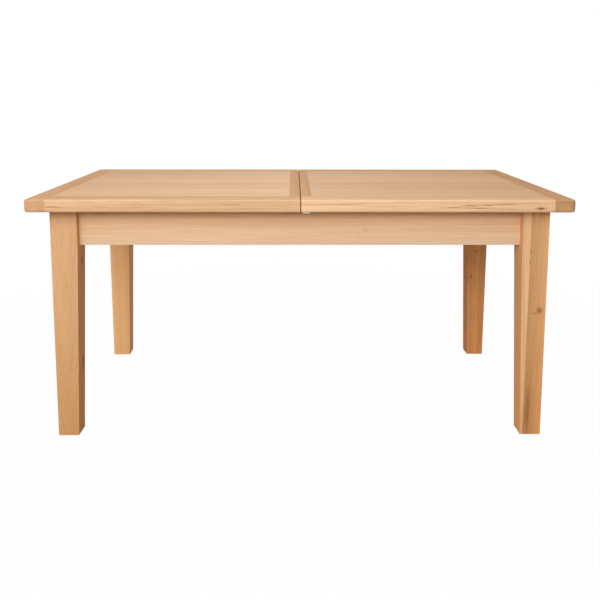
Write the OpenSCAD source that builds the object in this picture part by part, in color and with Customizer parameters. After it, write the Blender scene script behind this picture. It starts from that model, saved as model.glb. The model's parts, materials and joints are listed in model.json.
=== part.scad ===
/* [Table] */
// Length of the closed table top
top_l = 1700; // [1640:10:1900]
// Width of the table top from front to back
top_w = 900; // [880:5:960]
// Height of the upper face above the floor
table_h = 785; // [740:5:800]
// Overhang of the top past the legs at each end
end_overhang = 64; // [50:1:80]
// Overhang of the top past the legs at the front and back
side_overhang = 47; // [40:1:54]

/* [Top boards] */
// Thickness of the boards round the edge of the top
top_t = 40; // [38:1:46]
// Rounding of the top's outer edges
edge_r = 7.5; // [2:0.5:9]
// Rounding of the top's corners, seen from above
corner_r = 15; // [8:1:18]
// Width of the boards along the front and back
edge_board_w = 76; // [70:1:84]
// Width of the boards across the ends
end_board_w = 66; // [58:1:80]
// Width of the boards on each side of the middle seam
seam_board_w = 34; // [32:1:38]
// Gap between the closed halves
seam_gap = 2; // [1:0.2:3]
// Thickness of the panel staves
panel_t = 20; // [18:1:23]
// Width of the two middle staves
stave_w = 200; // [180:1:230]
// Thickness of the panel's tongue
tongue_t = 8; // [5:1:10]
// Length of the panel's tongue
tongue_l = 10; // [6:1:12]
// Spare depth at the bottom of each groove and bore
groove_spare = 0.5; // [0.2:0.1:1]
// Thickness of the tenons that hold the end boards
tenon_t = 12; // [8:1:14]
// Width of the tenons that hold the end boards
tenon_w = 44; // [30:1:50]
// Length of the tenons that hold the end boards
tenon_l = 30; // [20:1:40]

/* [Battens and runners] */
// Width of the battens under the panels
batten_w = 50; // [40:1:56]
// Distance from the seam to the inner batten
inner_batten_x = 110; // [100:1:125]
// Distance from the seam to the outer batten
outer_batten_x = 640; // [600:1:680]
// Thickness of the wooden runners
runner_t = 24; // [20:1:26]
// Depth of the wooden runners below the battens
runner_h = 57; // [54:1:59]
// Distance from the seam to the near end of a runner
runner_start = 30; // [22:1:34]
// Gap between a runner and the leg it reaches when the top is open
runner_leg_gap = 7; // [2:1:20]
// Distance from the middle batten to the far end of a runner
runner_end = 40; // [30:1:60]

/* [Legs] */
// Width of a leg at the top
leg_top = 84; // [76:1:92]
// Width of a leg at the foot
leg_foot = 66; // [54:1:72]
// Distance from the rail's lower edge down to where the taper starts
taper_drop = 20; // [0:5:80]
// Radius of the glide under each foot
foot_glide_r = 12; // [8:1:18]
// Thickness of the glide under each foot
foot_glide_t = 2; // [1:0.5:4]
// Length of the glide's nail
foot_nail_l = 16; // [10:1:25]
// Radius of the glide's nail
foot_nail_r = 1.5; // [1:0.25:2]

/* [Aprons] */
// Height of the apron rails
apron_h = 113; // [108:1:125]
// Thickness of the apron rails
apron_t = 22; // [19:1:25]
// Distance of the apron's face behind the leg's face
apron_recess = 25; // [20:1:29]
// Gap between the aprons and the underside of the top
top_clearance = 3; // [2.5:0.1:4]
// Radius of the dowels
dowel_r = 5; // [3:0.5:6]
// Depth of each dowel in each piece
dowel_depth = 25; // [18:1:30]
// Distance of the dowels from the apron's edges
dowel_inset = 25; // [18:1:30]

/* [Corner blocks] */
// Height of the corner blocks
block_h = 44; // [40:1:45]
// Distance of the corner blocks above the apron's lower edge
block_lift = 6; // [4:1:6]
// Clearance of a corner block past the leg's corner, along the apron
block_leg_gap = 8; // [3:1:14]
// Width of a corner block's end on the apron
block_w = 38; // [32:1:46]
// Radius of the leg bolts
bolt_r = 4; // [3:0.5:5]
// Depth of the leg bolts in the legs
bolt_depth = 40; // [25:1:45]
// Height of the leg nuts
nut_h = 6.5; // [5:0.5:8]
// Corner to corner radius of the leg nuts
nut_r = 7.5; // [6.5:0.5:8.5]
// Radius of the leg washers
washer_r = 11; // [9:0.5:13]
// Thickness of the leg washers
washer_t = 2; // [1:0.5:3]

/* [Slides] */
// Travel of each half of the top
slide_travel = 255; // [235:1:260]
// Width of a ball slide from apron to runner
slide_t = 13; // [12:0.5:15]
// Height of a ball slide
slide_h = 45; // [42:1:46]
// Distance of the slide's centre below the apron's top
slide_drop = 30; // [27:1:31]
// Thickness of the slide's steel
steel_t = 1.2; // [0.8:0.1:1.5]
// Width of the channel's folded edges
channel_lip = 9; // [8.5:0.1:9.5]
// Radius of the slide's balls
ball_r = 2; // [1.6:0.1:2.1]
// Running gap round the balls
ball_gap = 0.3; // [0.2:0.05:0.4]
// Distance from the seam to the near end of a channel
channel_start = 20; // [10:1:28]
// Gap between a channel and the leg
channel_leg_gap = 12; // [5:1:20]
// Distance of a slide member's ends inside its runner's ends
member_inset = 5; // [2:1:12]
// Spare length of a slide member past its ball cage
cage_spare = 10; // [4:1:20]
// Thickness of a ball cage
cage_t = 0.8; // [0.6:0.1:1]
// Distance of the screws from the slides' ends
slide_screw_inset = 25; // [15:1:35]
// Number of balls in each row
ball_count = 5; // [3:1:6]
// Number of screws in each channel
channel_screw_count = 5; // [3:1:6]
// Number of screws in each slide member
member_screw_count = 4; // [3:1:5]

/* [Glides] */
// Length of the glides on the aprons
apron_glide_l = 60; // [40:1:80]
// Width of the glides on the aprons
apron_glide_w = 16; // [10:1:19]
// Gap between a glide and the top that runs over it
glide_gap = 0.3; // [0.2:0.05:0.6]
// Length of the pale glides at the seam
seam_glide_l = 20; // [14:1:28]
// Width of the pale glides at the seam
seam_glide_w = 28; // [20:1:30]
// Thickness of the pale glides at the seam
seam_glide_t = 3.5; // [2:0.5:6]
// Distance of the seam glides from the outer edge
seam_glide_inset = 10; // [8:1:16]
// Distance of the seam glides from the seam's edge
seam_glide_start = 7; // [2:1:10]

/* [Leaf] */
// Spare opening on each side of the leaf
leaf_slack = 6; // [3:0.5:9]
// Gap between the stored leaf and each cross rail
leaf_rail_gap = 13; // [11:1:16]
// Gap between the two folded leaf wings
fold_gap = 0.6; // [0.3:0.1:0.9]
// Height of the pivot pins below the closed top's underside
pivot_drop = 6; // [5.5:0.5:7]
// Radius of the pivot pins
pivot_pin_r = 3; // [2.5:0.5:3.5]
// Metal round the pivot pins
pivot_ear = 2; // [1.5:0.5:2]
// Thickness of the pivot plates
pivot_plate_t = 3; // [2:0.5:4]
// Distance of the leaf's battens from its middle
leaf_batten_x = 150; // [130:5:165]
// Radius of the barrel hinges between the wings
barrel_r = 5; // [4:0.5:6]
// Depth of the barrel hinges in the wings
barrel_l = 14; // [10:1:18]
// Width of the ledges under the stored leaf
ledge_w = 24; // [20:1:28]
// Height of the ledges under the stored leaf
ledge_h = 20; // [16:1:22]
// Length of the ledges under the stored leaf
ledge_l = 200; // [160:5:205]
// Gap between a ledge and the stored leaf's edge board
ledge_gap = 9; // [5:1:15]
// Thickness of the cross rails
cross_rail_t = 25; // [20:1:30]
// Distance of the cross rails below the apron's top
cross_rail_drop = 8; // [6:1:9]
// Distance of the cross rails above the apron's lower edge
cross_rail_lift = 8; // [4:1:12]
// Height of the cross rails where the slides pass over them
cross_rail_end_h = 40; // [36:1:42]

/* [Seam hardware] */
// Radius of the pins that line up the halves
pin_r = 4; // [3:0.5:5]
// Reach of the pins into the other half
pin_reach = 12; // [8:1:14]
// Depth of the pins in the board that holds them
pin_depth = 20; // [14:1:20]
// Gap round the pins in the other half's holes
pin_gap = 0.3; // [0.2:0.05:0.5]
// Distance of the inner pins from the middle
inner_pin_y = 100; // [95:1:105]
// Distance of the outer pins from the middle
outer_pin_y = 300; // [290:1:310]
// Distance of the latches from the runners
latch_inset = 19; // [14:1:26]
// Width of a latch lever
lever_w = 16; // [14:1:18]
// Length of a latch lever past its keeper post
lever_tip = 12; // [10:1:14]
// Thickness of a latch lever
lever_t = 3; // [2:0.5:3]
// Thickness of the latch and keeper plates
plate_t = 2; // [1.5:0.5:2]
// Radius of the latch rivets and keeper posts
post_r = 3; // [2.5:0.5:3.5]
// Radius of the heads on the rivets and posts
post_head_r = 5.5; // [5:0.5:6]
// Thickness of the heads on the rivets and posts
post_head_t = 1.8; // [1:0.1:1.8]
// Running gap between a lever and its rivet
rivet_gap = 0.05; // [0.02:0.01:0.1]
// Gap between a lever and the plate over it
lever_gap = 0.2; // [0.1:0.05:0.3]

/* [Screws] */
// Radius of the wood screws
screw_r = 2; // [1.5:0.25:2.25]
// Radius of the wood screws' heads
screw_head_r = 3.6; // [3.2:0.1:4]
// Height of the wood screws' heads
screw_head_h = 2.4; // [1.8:0.1:3]
// Length of the screws through the battens
batten_screw_l = 33; // [28:1:36]
// Length of the screws through the runners
runner_screw_l = 42; // [36:1:46]
// Depth of the counterbores in the runners
runner_bore = 30; // [26:1:32]
// Length of the screws in the slides
slide_screw_l = 15; // [10:1:17]
// Length of the screws in small plates
plate_screw_l = 12; // [8:1:13]
// Length of the screws in the corner blocks
block_screw_l = 26; // [20:1:28]

/* [Hidden] */
$fn = 48;

// Colours of the finishes
oak = "#DDB68B";
oak_light = "#E6C49B";
oak_inner = "#CFA777";
zinc = "#BFC3C7";
steel = "#9FA5AB";
nylon = "#EFE9DC";

// Small overlap that makes cuts run past a face
cut = 1;

// Levels, from the floor up
foot_z = foot_glide_t;
top_under = table_h - top_t;
panel_under = table_h - panel_t;
panel_mid = table_h - panel_t / 2;
rail_top = top_under - top_clearance;
rail_under = rail_top - apron_h;
tongue_z = panel_mid - tongue_t / 2;
tenon_z = top_under + (top_t - tenon_t) / 2;

// Places along the table's length, from the seam outwards
half_l = top_l / 2;
seam_x = seam_gap / 2;
panel_x0 = seam_x + seam_board_w;
panel_x1 = half_l - end_board_w;
leg_out_x = half_l - end_overhang;
leg_in_x = leg_out_x - leg_top;
end_apron_out_x = leg_out_x - apron_recess;
end_apron_in_x = end_apron_out_x - apron_t;
runner_x1 = leg_in_x - slide_travel - runner_leg_gap;
middle_batten_x = runner_x1 - runner_end;
batten_xs = [inner_batten_x, middle_batten_x, outer_batten_x];
runner_screw_xs = [inner_batten_x, middle_batten_x];

// Places across the table's width, from the middle outwards
half_w = top_w / 2;
panel_y = half_w - edge_board_w;
leg_out_y = half_w - side_overhang;
leg_in_y = leg_out_y - leg_top;
apron_out_y = leg_out_y - apron_recess;
apron_in_y = apron_out_y - apron_t;
apron_mid_y = apron_in_y + apron_t / 2;
slide_in_y = apron_in_y - slide_t;
runner_in_y = slide_in_y - runner_t;
runner_mid_y = runner_in_y + runner_t / 2;
stave_ys = [-panel_y, -stave_w, 0, stave_w, panel_y];
tenon_y = panel_y + (edge_board_w - tenon_w) / 2;
pin_ys = [inner_pin_y, outer_pin_y];

// Slide sections, with Y measured from the apron's inner face towards the room
slide_z = rail_top - slide_drop;
race_z = slide_h / 2 - steel_t;
ball_z = race_z - ball_gap - ball_r;
member_z = ball_z - ball_r - ball_gap;
lip_h = steel_t + ball_gap + ball_r;
cage_web_y = steel_t + 2 * ball_gap;
cage_edge_y = channel_lip - steel_t - ball_gap;
ball_y = (cage_web_y + cage_t + cage_edge_y) / 2;
member_y = cage_web_y + cage_t + ball_gap;
ball_hole_gap = 0.2;

// Lengths of the slides
channel_x1 = leg_in_x - channel_leg_gap;
member_x0 = runner_start + member_inset;
member_x1 = runner_x1 - member_inset;
cage_x0 = member_x0 + slide_travel / 2 + cage_spare;
cage_x1 = member_x1 - cage_spare;
ball_inset = 15;

// Cross rails, with their ends cut down under the slides and runners
runner_clearance = 4;
notch_y = runner_in_y - runner_clearance;
leaf_half_l = slide_travel - leaf_slack;
cross_rail_in_x = leaf_half_l + leaf_rail_gap;
cross_rail_z0 = rail_under + cross_rail_lift;
cross_rail_z1 = rail_top - cross_rail_drop;
cross_dowel_r = 4;
cross_dowel_depth = 12;
cross_dowel_z = cross_rail_z0 + cross_rail_end_h / 2;

// Corner blocks, measured from the corner between two aprons' inner faces
block_near = end_apron_in_x - leg_in_x + apron_in_y - leg_in_y + block_leg_gap;
block_far = block_near + block_w;
block_z0 = rail_under + block_lift;
bolt_z = block_z0 + block_h / 2;
leg_corner_u = (end_apron_in_x - leg_in_x + apron_in_y - leg_in_y) / sqrt(2);
block_face_u = block_far / sqrt(2);
bolt_end = 5;
block_screw_u = block_near + block_w / 2;
block_screw_v = 12;
block_screw_zs = [block_z0 + block_h / 4, block_z0 + block_h * 3 / 4];
dowel_zs = [rail_under + dowel_inset, rail_top - dowel_inset];

// The stored leaf
leaf_stave_ys = [0, stave_w, panel_y];
leaf_pin_gap = 1;
leaf_pin_reach = leaf_rail_gap - pivot_plate_t - leaf_pin_gap;
leaf_batten_in = 5;
pivot_y = -half_w / 4;
pivot_z = top_under - pivot_drop;
stored_edge_y = 2 * pivot_y;
wing_b_lift = 2 * (pivot_z - table_h) - fold_gap;
wing_back_z = 2 * pivot_z - panel_under;
outer_hinge_inset = 49;
outer_hinge_x = leaf_half_l - outer_hinge_inset;
inner_hinge_x = 70;
hinge_xs = [-outer_hinge_x, -inner_hinge_x, inner_hinge_x, outer_hinge_x];
barrel_drop = 6.5;
link_t = 3;
link_w = 8;
link_z0 = table_h - barrel_drop - barrel_r + wing_b_lift;
link_z1 = 2 * pivot_z - table_h + barrel_drop + barrel_r;

// Its pivots and ledges
ear_r = pivot_pin_r + pivot_ear;
arm_inset = 2.5;
arm_x = leaf_half_l - pivot_plate_t - arm_inset;
arm_foot_l = 30;
arm_screw_xs = [8, 22];
pivot_base_w = 24;
pivot_base_drop = 10;
bracket_h = 39;
bracket_z0 = cross_rail_z1 - bracket_h;
bracket_screw_zs = [bracket_z0 + bracket_h / 4, bracket_z0 + bracket_h * 2 / 3];
bracket_head_t = 1.5;
pin_head_t = 2;
pin_head_r = ear_r - 1;
pin_end = 2;
ledge_z1 = panel_under + wing_b_lift;
ledge_y1 = panel_y + stored_edge_y - ledge_gap;
ledge_y0 = ledge_y1 - ledge_l;
ledge_screw_inset = 40;

// Latches
latch_y = runner_in_y - latch_inset;
latch_x = seam_x + seam_board_w / 2;
latch_reach = 2 * latch_x;
lever_end = latch_reach + lever_tip - lever_w / 2;
lever_z = top_under - plate_t - lever_gap - lever_t;
post_z = lever_z - lever_gap - post_head_t;
plate_side = 2;
plate_w = seam_board_w - 2 * plate_side;
plate_tail = 38;
keeper_tail = 28;
plate_head = 12;
plate_y0 = latch_y - plate_tail;
keeper_y0 = latch_y - keeper_tail;
plate_y1 = latch_y + plate_head;
latch_screw_inset = 8;
latch_screw_y = plate_y0 + latch_screw_inset;
keeper_screw_inset = 12;
keeper_screw_y = keeper_y0 + keeper_screw_inset;
rivet_in_board = 5;

// Pale glides beside the seam
seam_glide_x = seam_x + seam_glide_start;

// A piece drawn for the right end, set at the left or the right
module at_end(side) { if (side < 0) mirror([1, 0, 0]) children(); else children(); }
// A piece drawn for the back, set at the front or the back
module at_face(face) { if (face < 0) mirror([0, 1, 0]) children(); else children(); }
module at_corners() { for (side = [-1, 1], face = [-1, 1]) at_end(side) at_face(face) children(); }
// A block from its lowest to its highest corner
module block(low, high) { translate(low) cube(high - low); }
// Cylinders along the row axes
module rod_x(r, l) { rotate([0, 90, 0]) cylinder(r = r, h = l); }
module rod_y(r, l) { rotate([-90, 0, 0]) cylinder(r = r, h = l); }
// An outline in X and Z, drawn out along Y from y0 to y1
module along_y(y0, y1) { translate([0, y1, 0]) rotate([90, 0, 0]) linear_extrude(y1 - y0) children(); }
// An outline in Y and Z, drawn out along X from x0 to x1
module along_x(x0, x1) { translate([x0, 0, 0]) rotate([90, 0, 90]) linear_extrude(x1 - x0) children(); }

// Turned shapes, from points of radius and height
module turned(points) { rotate_extrude() polygon(points); }
// A countersunk screw pointing down, its head flush with the origin
module countersunk(l, head_h) {
  turned([[0, -l], [screw_r, -l], [screw_r, -head_h], [screw_head_r, 0], [0, 0]]);
}
// A screw pointing down, its disc head standing on the origin
module disc_screw(l, head_h) {
  turned([[0, -l], [screw_r, -l], [screw_r, 0], [screw_head_r, 0], [screw_head_r, head_h], [0, head_h]]);
}
module wood_screw(l) { countersunk(l, screw_head_h); }
module steel_screw() { countersunk(slide_screw_l, steel_t); }
module plate_screw() { countersunk(plate_screw_l, plate_t); }
// A post pointing up from a disc head
module headed_post(r, head_r, head_t, l) {
  turned([[0, 0], [head_r, 0], [head_r, head_t], [r, head_t], [r, l], [0, l]]);
}
// An outline and its mirror image below it
module above_and_below() {
  children();
  mirror([0, 1]) children();
}

// Legs
// The inner faces taper and the two outer faces stay upright
module leg_outline(out, in_top, in_foot) {
  polygon([[out, foot_z], [in_foot, foot_z], [in_top, rail_under - taper_drop],
    [in_top, rail_top], [out, rail_top]]);
}
module leg() {
  difference() {
    intersection() {
      along_y(leg_in_y, leg_out_y) leg_outline(leg_out_x, leg_in_x, leg_out_x - leg_foot);
      along_x(leg_in_x, leg_out_x) leg_outline(leg_out_y, leg_in_y, leg_out_y - leg_foot);
    }
    corner_dowels(dowel_depth + groove_spare);
    leg_bolt(groove_spare);
    foot_nail(groove_spare);
  }
}
module at_foot() { translate([leg_out_x - leg_foot / 2, leg_out_y - leg_foot / 2, 0]) children(); }
module foot_nail(spare) { at_foot() cylinder(r = foot_nail_r, h = foot_z + foot_nail_l + spare); }
module foot_glide() { at_foot() headed_post(foot_nail_r, foot_glide_r, foot_glide_t, foot_z + foot_nail_l); }

// Dowels between the aprons and the legs, and between the cross rails and the aprons
module corner_dowels(depth) {
  for (z = dowel_zs) {
    translate([leg_in_x - depth, apron_mid_y, z]) rod_x(dowel_r, 2 * depth);
    translate([end_apron_in_x + apron_t / 2, leg_in_y - depth, z]) rod_y(dowel_r, 2 * depth);
  }
}
module cross_dowel(spare) {
  depth = cross_dowel_depth + spare;
  translate([cross_rail_in_x + cross_rail_t / 2, apron_in_y - depth, cross_dowel_z])
    rod_y(cross_dowel_r, 2 * depth);
}

// Aprons
module long_apron() {
  difference() {
    block([-leg_in_x, apron_in_y, rail_under], [leg_in_x, apron_out_y, rail_top]);
    for (side = [-1, 1]) at_end(side) {
      corner_dowels(dowel_depth + groove_spare);
      cross_dowel(groove_spare);
      block_screws();
      channel_screws();
    }
  }
}
module end_apron() {
  difference() {
    block([end_apron_in_x, -leg_in_y, rail_under], [end_apron_out_x, leg_in_y, rail_top]);
    for (face = [-1, 1]) at_face(face) {
      corner_dowels(dowel_depth + groove_spare);
      block_screws();
    }
  }
}

// Corner blocks
module from_corner() { translate([end_apron_in_x, apron_in_y, 0]) rotate(180) children(); }
// The leg bolt's own line: X runs from the corner towards the room
module bolt_line() { from_corner() rotate(45) translate([0, 0, bolt_z]) children(); }
module leg_bolt(spare) {
  start = leg_corner_u - bolt_depth - spare;
  bolt_line() translate([start, 0, 0])
    rod_x(bolt_r, block_face_u + washer_t + nut_h + bolt_end - start);
}
module block_screw_places() {
  for (z = block_screw_zs) from_corner() {
    translate([block_screw_u, block_screw_v, z]) rotate([-90, 0, 0]) children();
    translate([block_screw_v, block_screw_u, z]) rotate([0, 90, 0]) children();
  }
}
module block_screws() { block_screw_places() disc_screw(block_screw_l, screw_head_h); }
module corner_block() {
  difference() {
    from_corner() translate([0, 0, block_z0]) linear_extrude(block_h)
      polygon([[block_near, 0], [block_far, 0], [0, block_far], [0, block_near]]);
    leg_bolt(0);
    block_screws();
    block_screw_places() cylinder(r = screw_head_r + cut, h = block_w);
  }
}
module leg_nut() {
  bolt_line() translate([block_face_u, 0, 0]) {
    difference() {
      rod_x(washer_r, washer_t);
      translate([-cut, 0, 0]) rod_x(bolt_r, washer_t + 2 * cut);
    }
    difference() {
      translate([washer_t, 0, 0]) rotate([0, 90, 0]) cylinder(r = nut_r, h = nut_h, $fn = 6);
      rod_x(bolt_r, washer_t + nut_h + cut);
    }
  }
}

// Cross rails that carry the stored leaf
module cross_rail() {
  difference() {
    union() {
      block([cross_rail_in_x, -notch_y, cross_rail_z0],
        [cross_rail_in_x + cross_rail_t, notch_y, cross_rail_z1]);
      block([cross_rail_in_x, -apron_in_y, cross_rail_z0],
        [cross_rail_in_x + cross_rail_t, apron_in_y, cross_rail_z0 + cross_rail_end_h]);
    }
    for (face = [-1, 1]) at_face(face) cross_dowel(groove_spare);
    ledge_screws();
    bracket_screws();
  }
}
module ledge() {
  difference() {
    block([cross_rail_in_x - ledge_w, ledge_y0, ledge_z1 - ledge_h],
      [cross_rail_in_x, ledge_y1, ledge_z1]);
    ledge_screws();
  }
}
module ledge_screws() {
  for (y = [ledge_y0 + ledge_screw_inset, ledge_y1 - ledge_screw_inset])
    translate([cross_rail_in_x - ledge_w, y, ledge_z1 - ledge_h / 2]) rotate([0, -90, 0])
      wood_screw(ledge_w + slide_screw_l);
}

// Ball slides, drawn at the back
module slide_outline() { translate([apron_in_y, slide_z]) mirror([1, 0]) children(); }
module channel_outline() {
  translate([0, -slide_h / 2]) square([steel_t, slide_h]);
  above_and_below() {
    translate([0, race_z]) square([channel_lip, steel_t]);
    translate([channel_lip - steel_t, slide_h / 2 - lip_h]) square([steel_t, lip_h]);
  }
}
module member_outline() {
  translate([slide_t - steel_t, -member_z]) square([steel_t, 2 * member_z]);
  above_and_below()
    translate([member_y, member_z - steel_t]) square([slide_t - member_y, steel_t]);
}
module cage_outline() {
  translate([cage_web_y, -ball_z - cage_t / 2]) square([cage_t, 2 * ball_z + cage_t]);
  above_and_below()
    translate([cage_web_y, ball_z - cage_t / 2]) square([cage_edge_y - cage_web_y, cage_t]);
}
module channel() {
  difference() {
    along_x(channel_start, channel_x1) slide_outline() channel_outline();
    channel_screws();
  }
}
function evenly(x0, x1, inset, count) =
  [for (i = [0 : count - 1]) x0 + inset + (x1 - x0 - 2 * inset) * i / (count - 1)];
module channel_screws() {
  for (x = evenly(channel_start, channel_x1, slide_screw_inset, channel_screw_count))
    translate([x, apron_in_y - steel_t, slide_z]) rotate([90, 0, 0]) steel_screw();
}
module slide_member() {
  difference() {
    along_x(member_x0, member_x1) slide_outline() member_outline();
    member_screws();
  }
}
module member_screws() {
  for (x = evenly(member_x0, member_x1, slide_screw_inset, member_screw_count))
    translate([x, slide_in_y + steel_t, slide_z]) rotate([-90, 0, 0]) steel_screw();
}
module ball_places() {
  for (x = evenly(cage_x0, cage_x1, ball_inset, ball_count), side = [-1, 1])
    translate([x, apron_in_y - ball_y, slide_z + side * ball_z]) children();
}
module balls() { ball_places() sphere(r = ball_r); }
module ball_cage() {
  difference() {
    along_x(cage_x0, cage_x1) slide_outline() cage_outline();
    ball_places() translate([0, 0, -ball_r]) cylinder(r = ball_r + ball_hole_gap, h = 2 * ball_r);
  }
}

// Boards of one half of the top, drawn for the right half
module edge_outline() {
  translate([panel_y, top_under]) square([edge_board_w - edge_r, top_t]);
  translate([panel_y, top_under + edge_r]) square([edge_board_w, top_t - 2 * edge_r]);
  for (z = [top_under + edge_r, table_h - edge_r]) translate([half_w - edge_r, z]) circle(edge_r);
}
module edge_tenon(spare) {
  block([panel_x1 - cut, tenon_y, tenon_z],
    [panel_x1 + tenon_l + spare, tenon_y + tenon_w, tenon_z + tenon_t]);
}
module edge_board() {
  difference() {
    union() {
      along_x(seam_x, panel_x1) edge_outline();
      edge_tenon(0);
    }
    block([seam_x - cut, panel_y - cut, tongue_z],
      [panel_x1, panel_y + tongue_l + groove_spare, tongue_z + tongue_t]);
  }
}
module end_side_outline() {
  translate([panel_x1, top_under]) square([end_board_w - edge_r, top_t]);
  translate([panel_x1, top_under + edge_r]) square([end_board_w, top_t - 2 * edge_r]);
  for (z = [top_under + edge_r, table_h - edge_r]) translate([half_l - edge_r, z]) circle(edge_r);
}
module end_face_outline() {
  translate([-half_w + edge_r, top_under]) square([top_w - 2 * edge_r, top_t]);
  translate([-half_w, top_under + edge_r]) square([top_w, top_t - 2 * edge_r]);
  for (y = [-half_w + edge_r, half_w - edge_r], z = [top_under + edge_r, table_h - edge_r])
    translate([y, z]) circle(edge_r);
}
module end_plan() {
  translate([panel_x1, -half_w]) square([end_board_w - corner_r, top_w]);
  translate([panel_x1, -half_w + corner_r]) square([end_board_w, top_w - 2 * corner_r]);
  for (y = [-half_w + corner_r, half_w - corner_r]) translate([half_l - corner_r, y]) circle(corner_r);
}
module end_board() {
  difference() {
    intersection() {
      along_y(-half_w, half_w) end_side_outline();
      along_x(panel_x1, half_l) end_face_outline();
      translate([0, 0, top_under]) linear_extrude(top_t) end_plan();
    }
    block([panel_x1 - cut, -panel_y - tongue_l - groove_spare, tongue_z],
      [panel_x1 + tongue_l + groove_spare, panel_y + tongue_l + groove_spare, tongue_z + tongue_t]);
    for (face = [-1, 1]) at_face(face) edge_tenon(groove_spare);
  }
}
module seam_board() {
  difference() {
    union() {
      block([seam_x, -panel_y, top_under], [panel_x0, panel_y, table_h]);
      block([seam_x, -panel_y - tongue_l, tongue_z],
        [panel_x0 - tongue_l - groove_spare, panel_y + tongue_l, tongue_z + tongue_t]);
    }
    block([panel_x0 - tongue_l - groove_spare, -panel_y - cut, tongue_z],
      [panel_x0 + cut, panel_y + cut, tongue_z + tongue_t]);
  }
}
module stave(y0, y1, side_low, side_high) {
  difference() {
    union() {
      block([panel_x0, y0, panel_under], [panel_x1, y1, table_h]);
      block([panel_x0 - tongue_l, y0 - side_low * tongue_l, tongue_z],
        [panel_x1 + tongue_l, y1 + side_high * tongue_l, tongue_z + tongue_t]);
    }
    batten_screws();
  }
}
module panel() {
  last = len(stave_ys) - 2;
  for (i = [0 : last])
    stave(stave_ys[i], stave_ys[i + 1], i == 0 ? 1 : 0, i == last ? 1 : 0);
}
function middle_of(list, i) = (list[i] + list[i + 1]) / 2;
module batten_screws() {
  for (x = batten_xs, i = [0 : len(stave_ys) - 2])
    translate([x, middle_of(stave_ys, i), top_under]) rotate([180, 0, 0]) wood_screw(batten_screw_l);
}
module batten(x) {
  difference() {
    block([x - batten_w / 2, -panel_y, top_under], [x + batten_w / 2, panel_y, panel_under]);
    batten_screws();
    for (face = [-1, 1]) at_face(face) runner_screws();
  }
}
module runner() {
  difference() {
    block([runner_start, runner_in_y, top_under - runner_h], [runner_x1, slide_in_y, top_under]);
    runner_screws();
    for (x = runner_screw_xs)
      translate([x, runner_mid_y, top_under - runner_h - cut])
        cylinder(r = screw_head_r + cut, h = runner_bore + cut);
    member_screws();
  }
}
module runner_screws() {
  for (x = runner_screw_xs)
    translate([x, runner_mid_y, top_under - runner_h + runner_bore]) rotate([180, 0, 0])
      disc_screw(runner_screw_l, screw_head_h);
}

// Pins and holes that line up the seam, drawn from the half that holds the pins
module pin_places() { for (y = pin_ys, face = [-1, 1]) translate([0, face * y, panel_mid]) children(); }
module seam_pins() {
  pin_places() translate([-seam_x - pin_depth, 0, 0]) rod_x(pin_r, pin_depth + seam_gap + pin_reach);
}
module pin_hole() { rod_x(pin_r + pin_gap, seam_gap + pin_reach + groove_spare); }

// Latches under the seam, drawn at the back
module latch_plate() {
  difference() {
    block([-latch_x - plate_w / 2, plate_y0, top_under - plate_t],
      [-latch_x + plate_w / 2, plate_y1, top_under]);
    latch_plate_screws();
    latch_rivet();
  }
}
module latch_plate_screws() {
  for (x = [-plate_w / 4, plate_w / 4])
    translate([-latch_x + x, latch_screw_y, top_under - plate_t]) rotate([180, 0, 0]) plate_screw();
}
module latch_rivet() {
  translate([-latch_x, latch_y, post_z])
    headed_post(post_r, post_head_r, post_head_t, top_under + rivet_in_board - post_z);
}
module keeper() {
  difference() {
    block([latch_x - plate_w / 2, keeper_y0, top_under - plate_t],
      [latch_x + plate_w / 2, plate_y1, top_under]);
    keeper_screws();
  }
  translate([latch_x, latch_y, post_z])
    headed_post(post_r, post_head_r, post_head_t, top_under - post_z);
}
module keeper_screws() {
  for (x = [-plate_w / 4, plate_w / 4])
    translate([latch_x + x, keeper_screw_y, top_under - plate_t]) rotate([180, 0, 0]) plate_screw();
}
// The lever lies along the seam, pointing to the middle, and turns out over the seam
// Its slot follows the arc that the keeper's post takes
module lever_disc(r, y) { translate([0, y, -cut]) cylinder(r = r, h = lever_t + 2 * cut); }
module lever_slot() {
  slot_r = post_r + pin_gap;
  lever_disc(slot_r, latch_reach);
  intersection() {
    difference() {
      lever_disc(latch_reach + slot_r, 0);
      translate([0, 0, -cut]) lever_disc(latch_reach - slot_r, 0);
      translate([0, 0, cut]) lever_disc(latch_reach - slot_r, 0);
    }
    translate([0, 0, -cut]) cube([latch_reach, 2 * latch_reach, lever_t + 2 * cut]);
  }
}
module latch_lever() {
  translate([-latch_x, latch_y, lever_z]) mirror([0, 1, 0]) difference() {
    union() {
      cylinder(r = lever_w / 2, h = lever_t);
      translate([-lever_w / 2, 0, 0]) cube([lever_w, lever_end, lever_t]);
      translate([0, lever_end, 0]) cylinder(r = lever_w / 2, h = lever_t);
    }
    lever_disc(post_r + rivet_gap, 0);
    lever_slot();
  }
}

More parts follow.
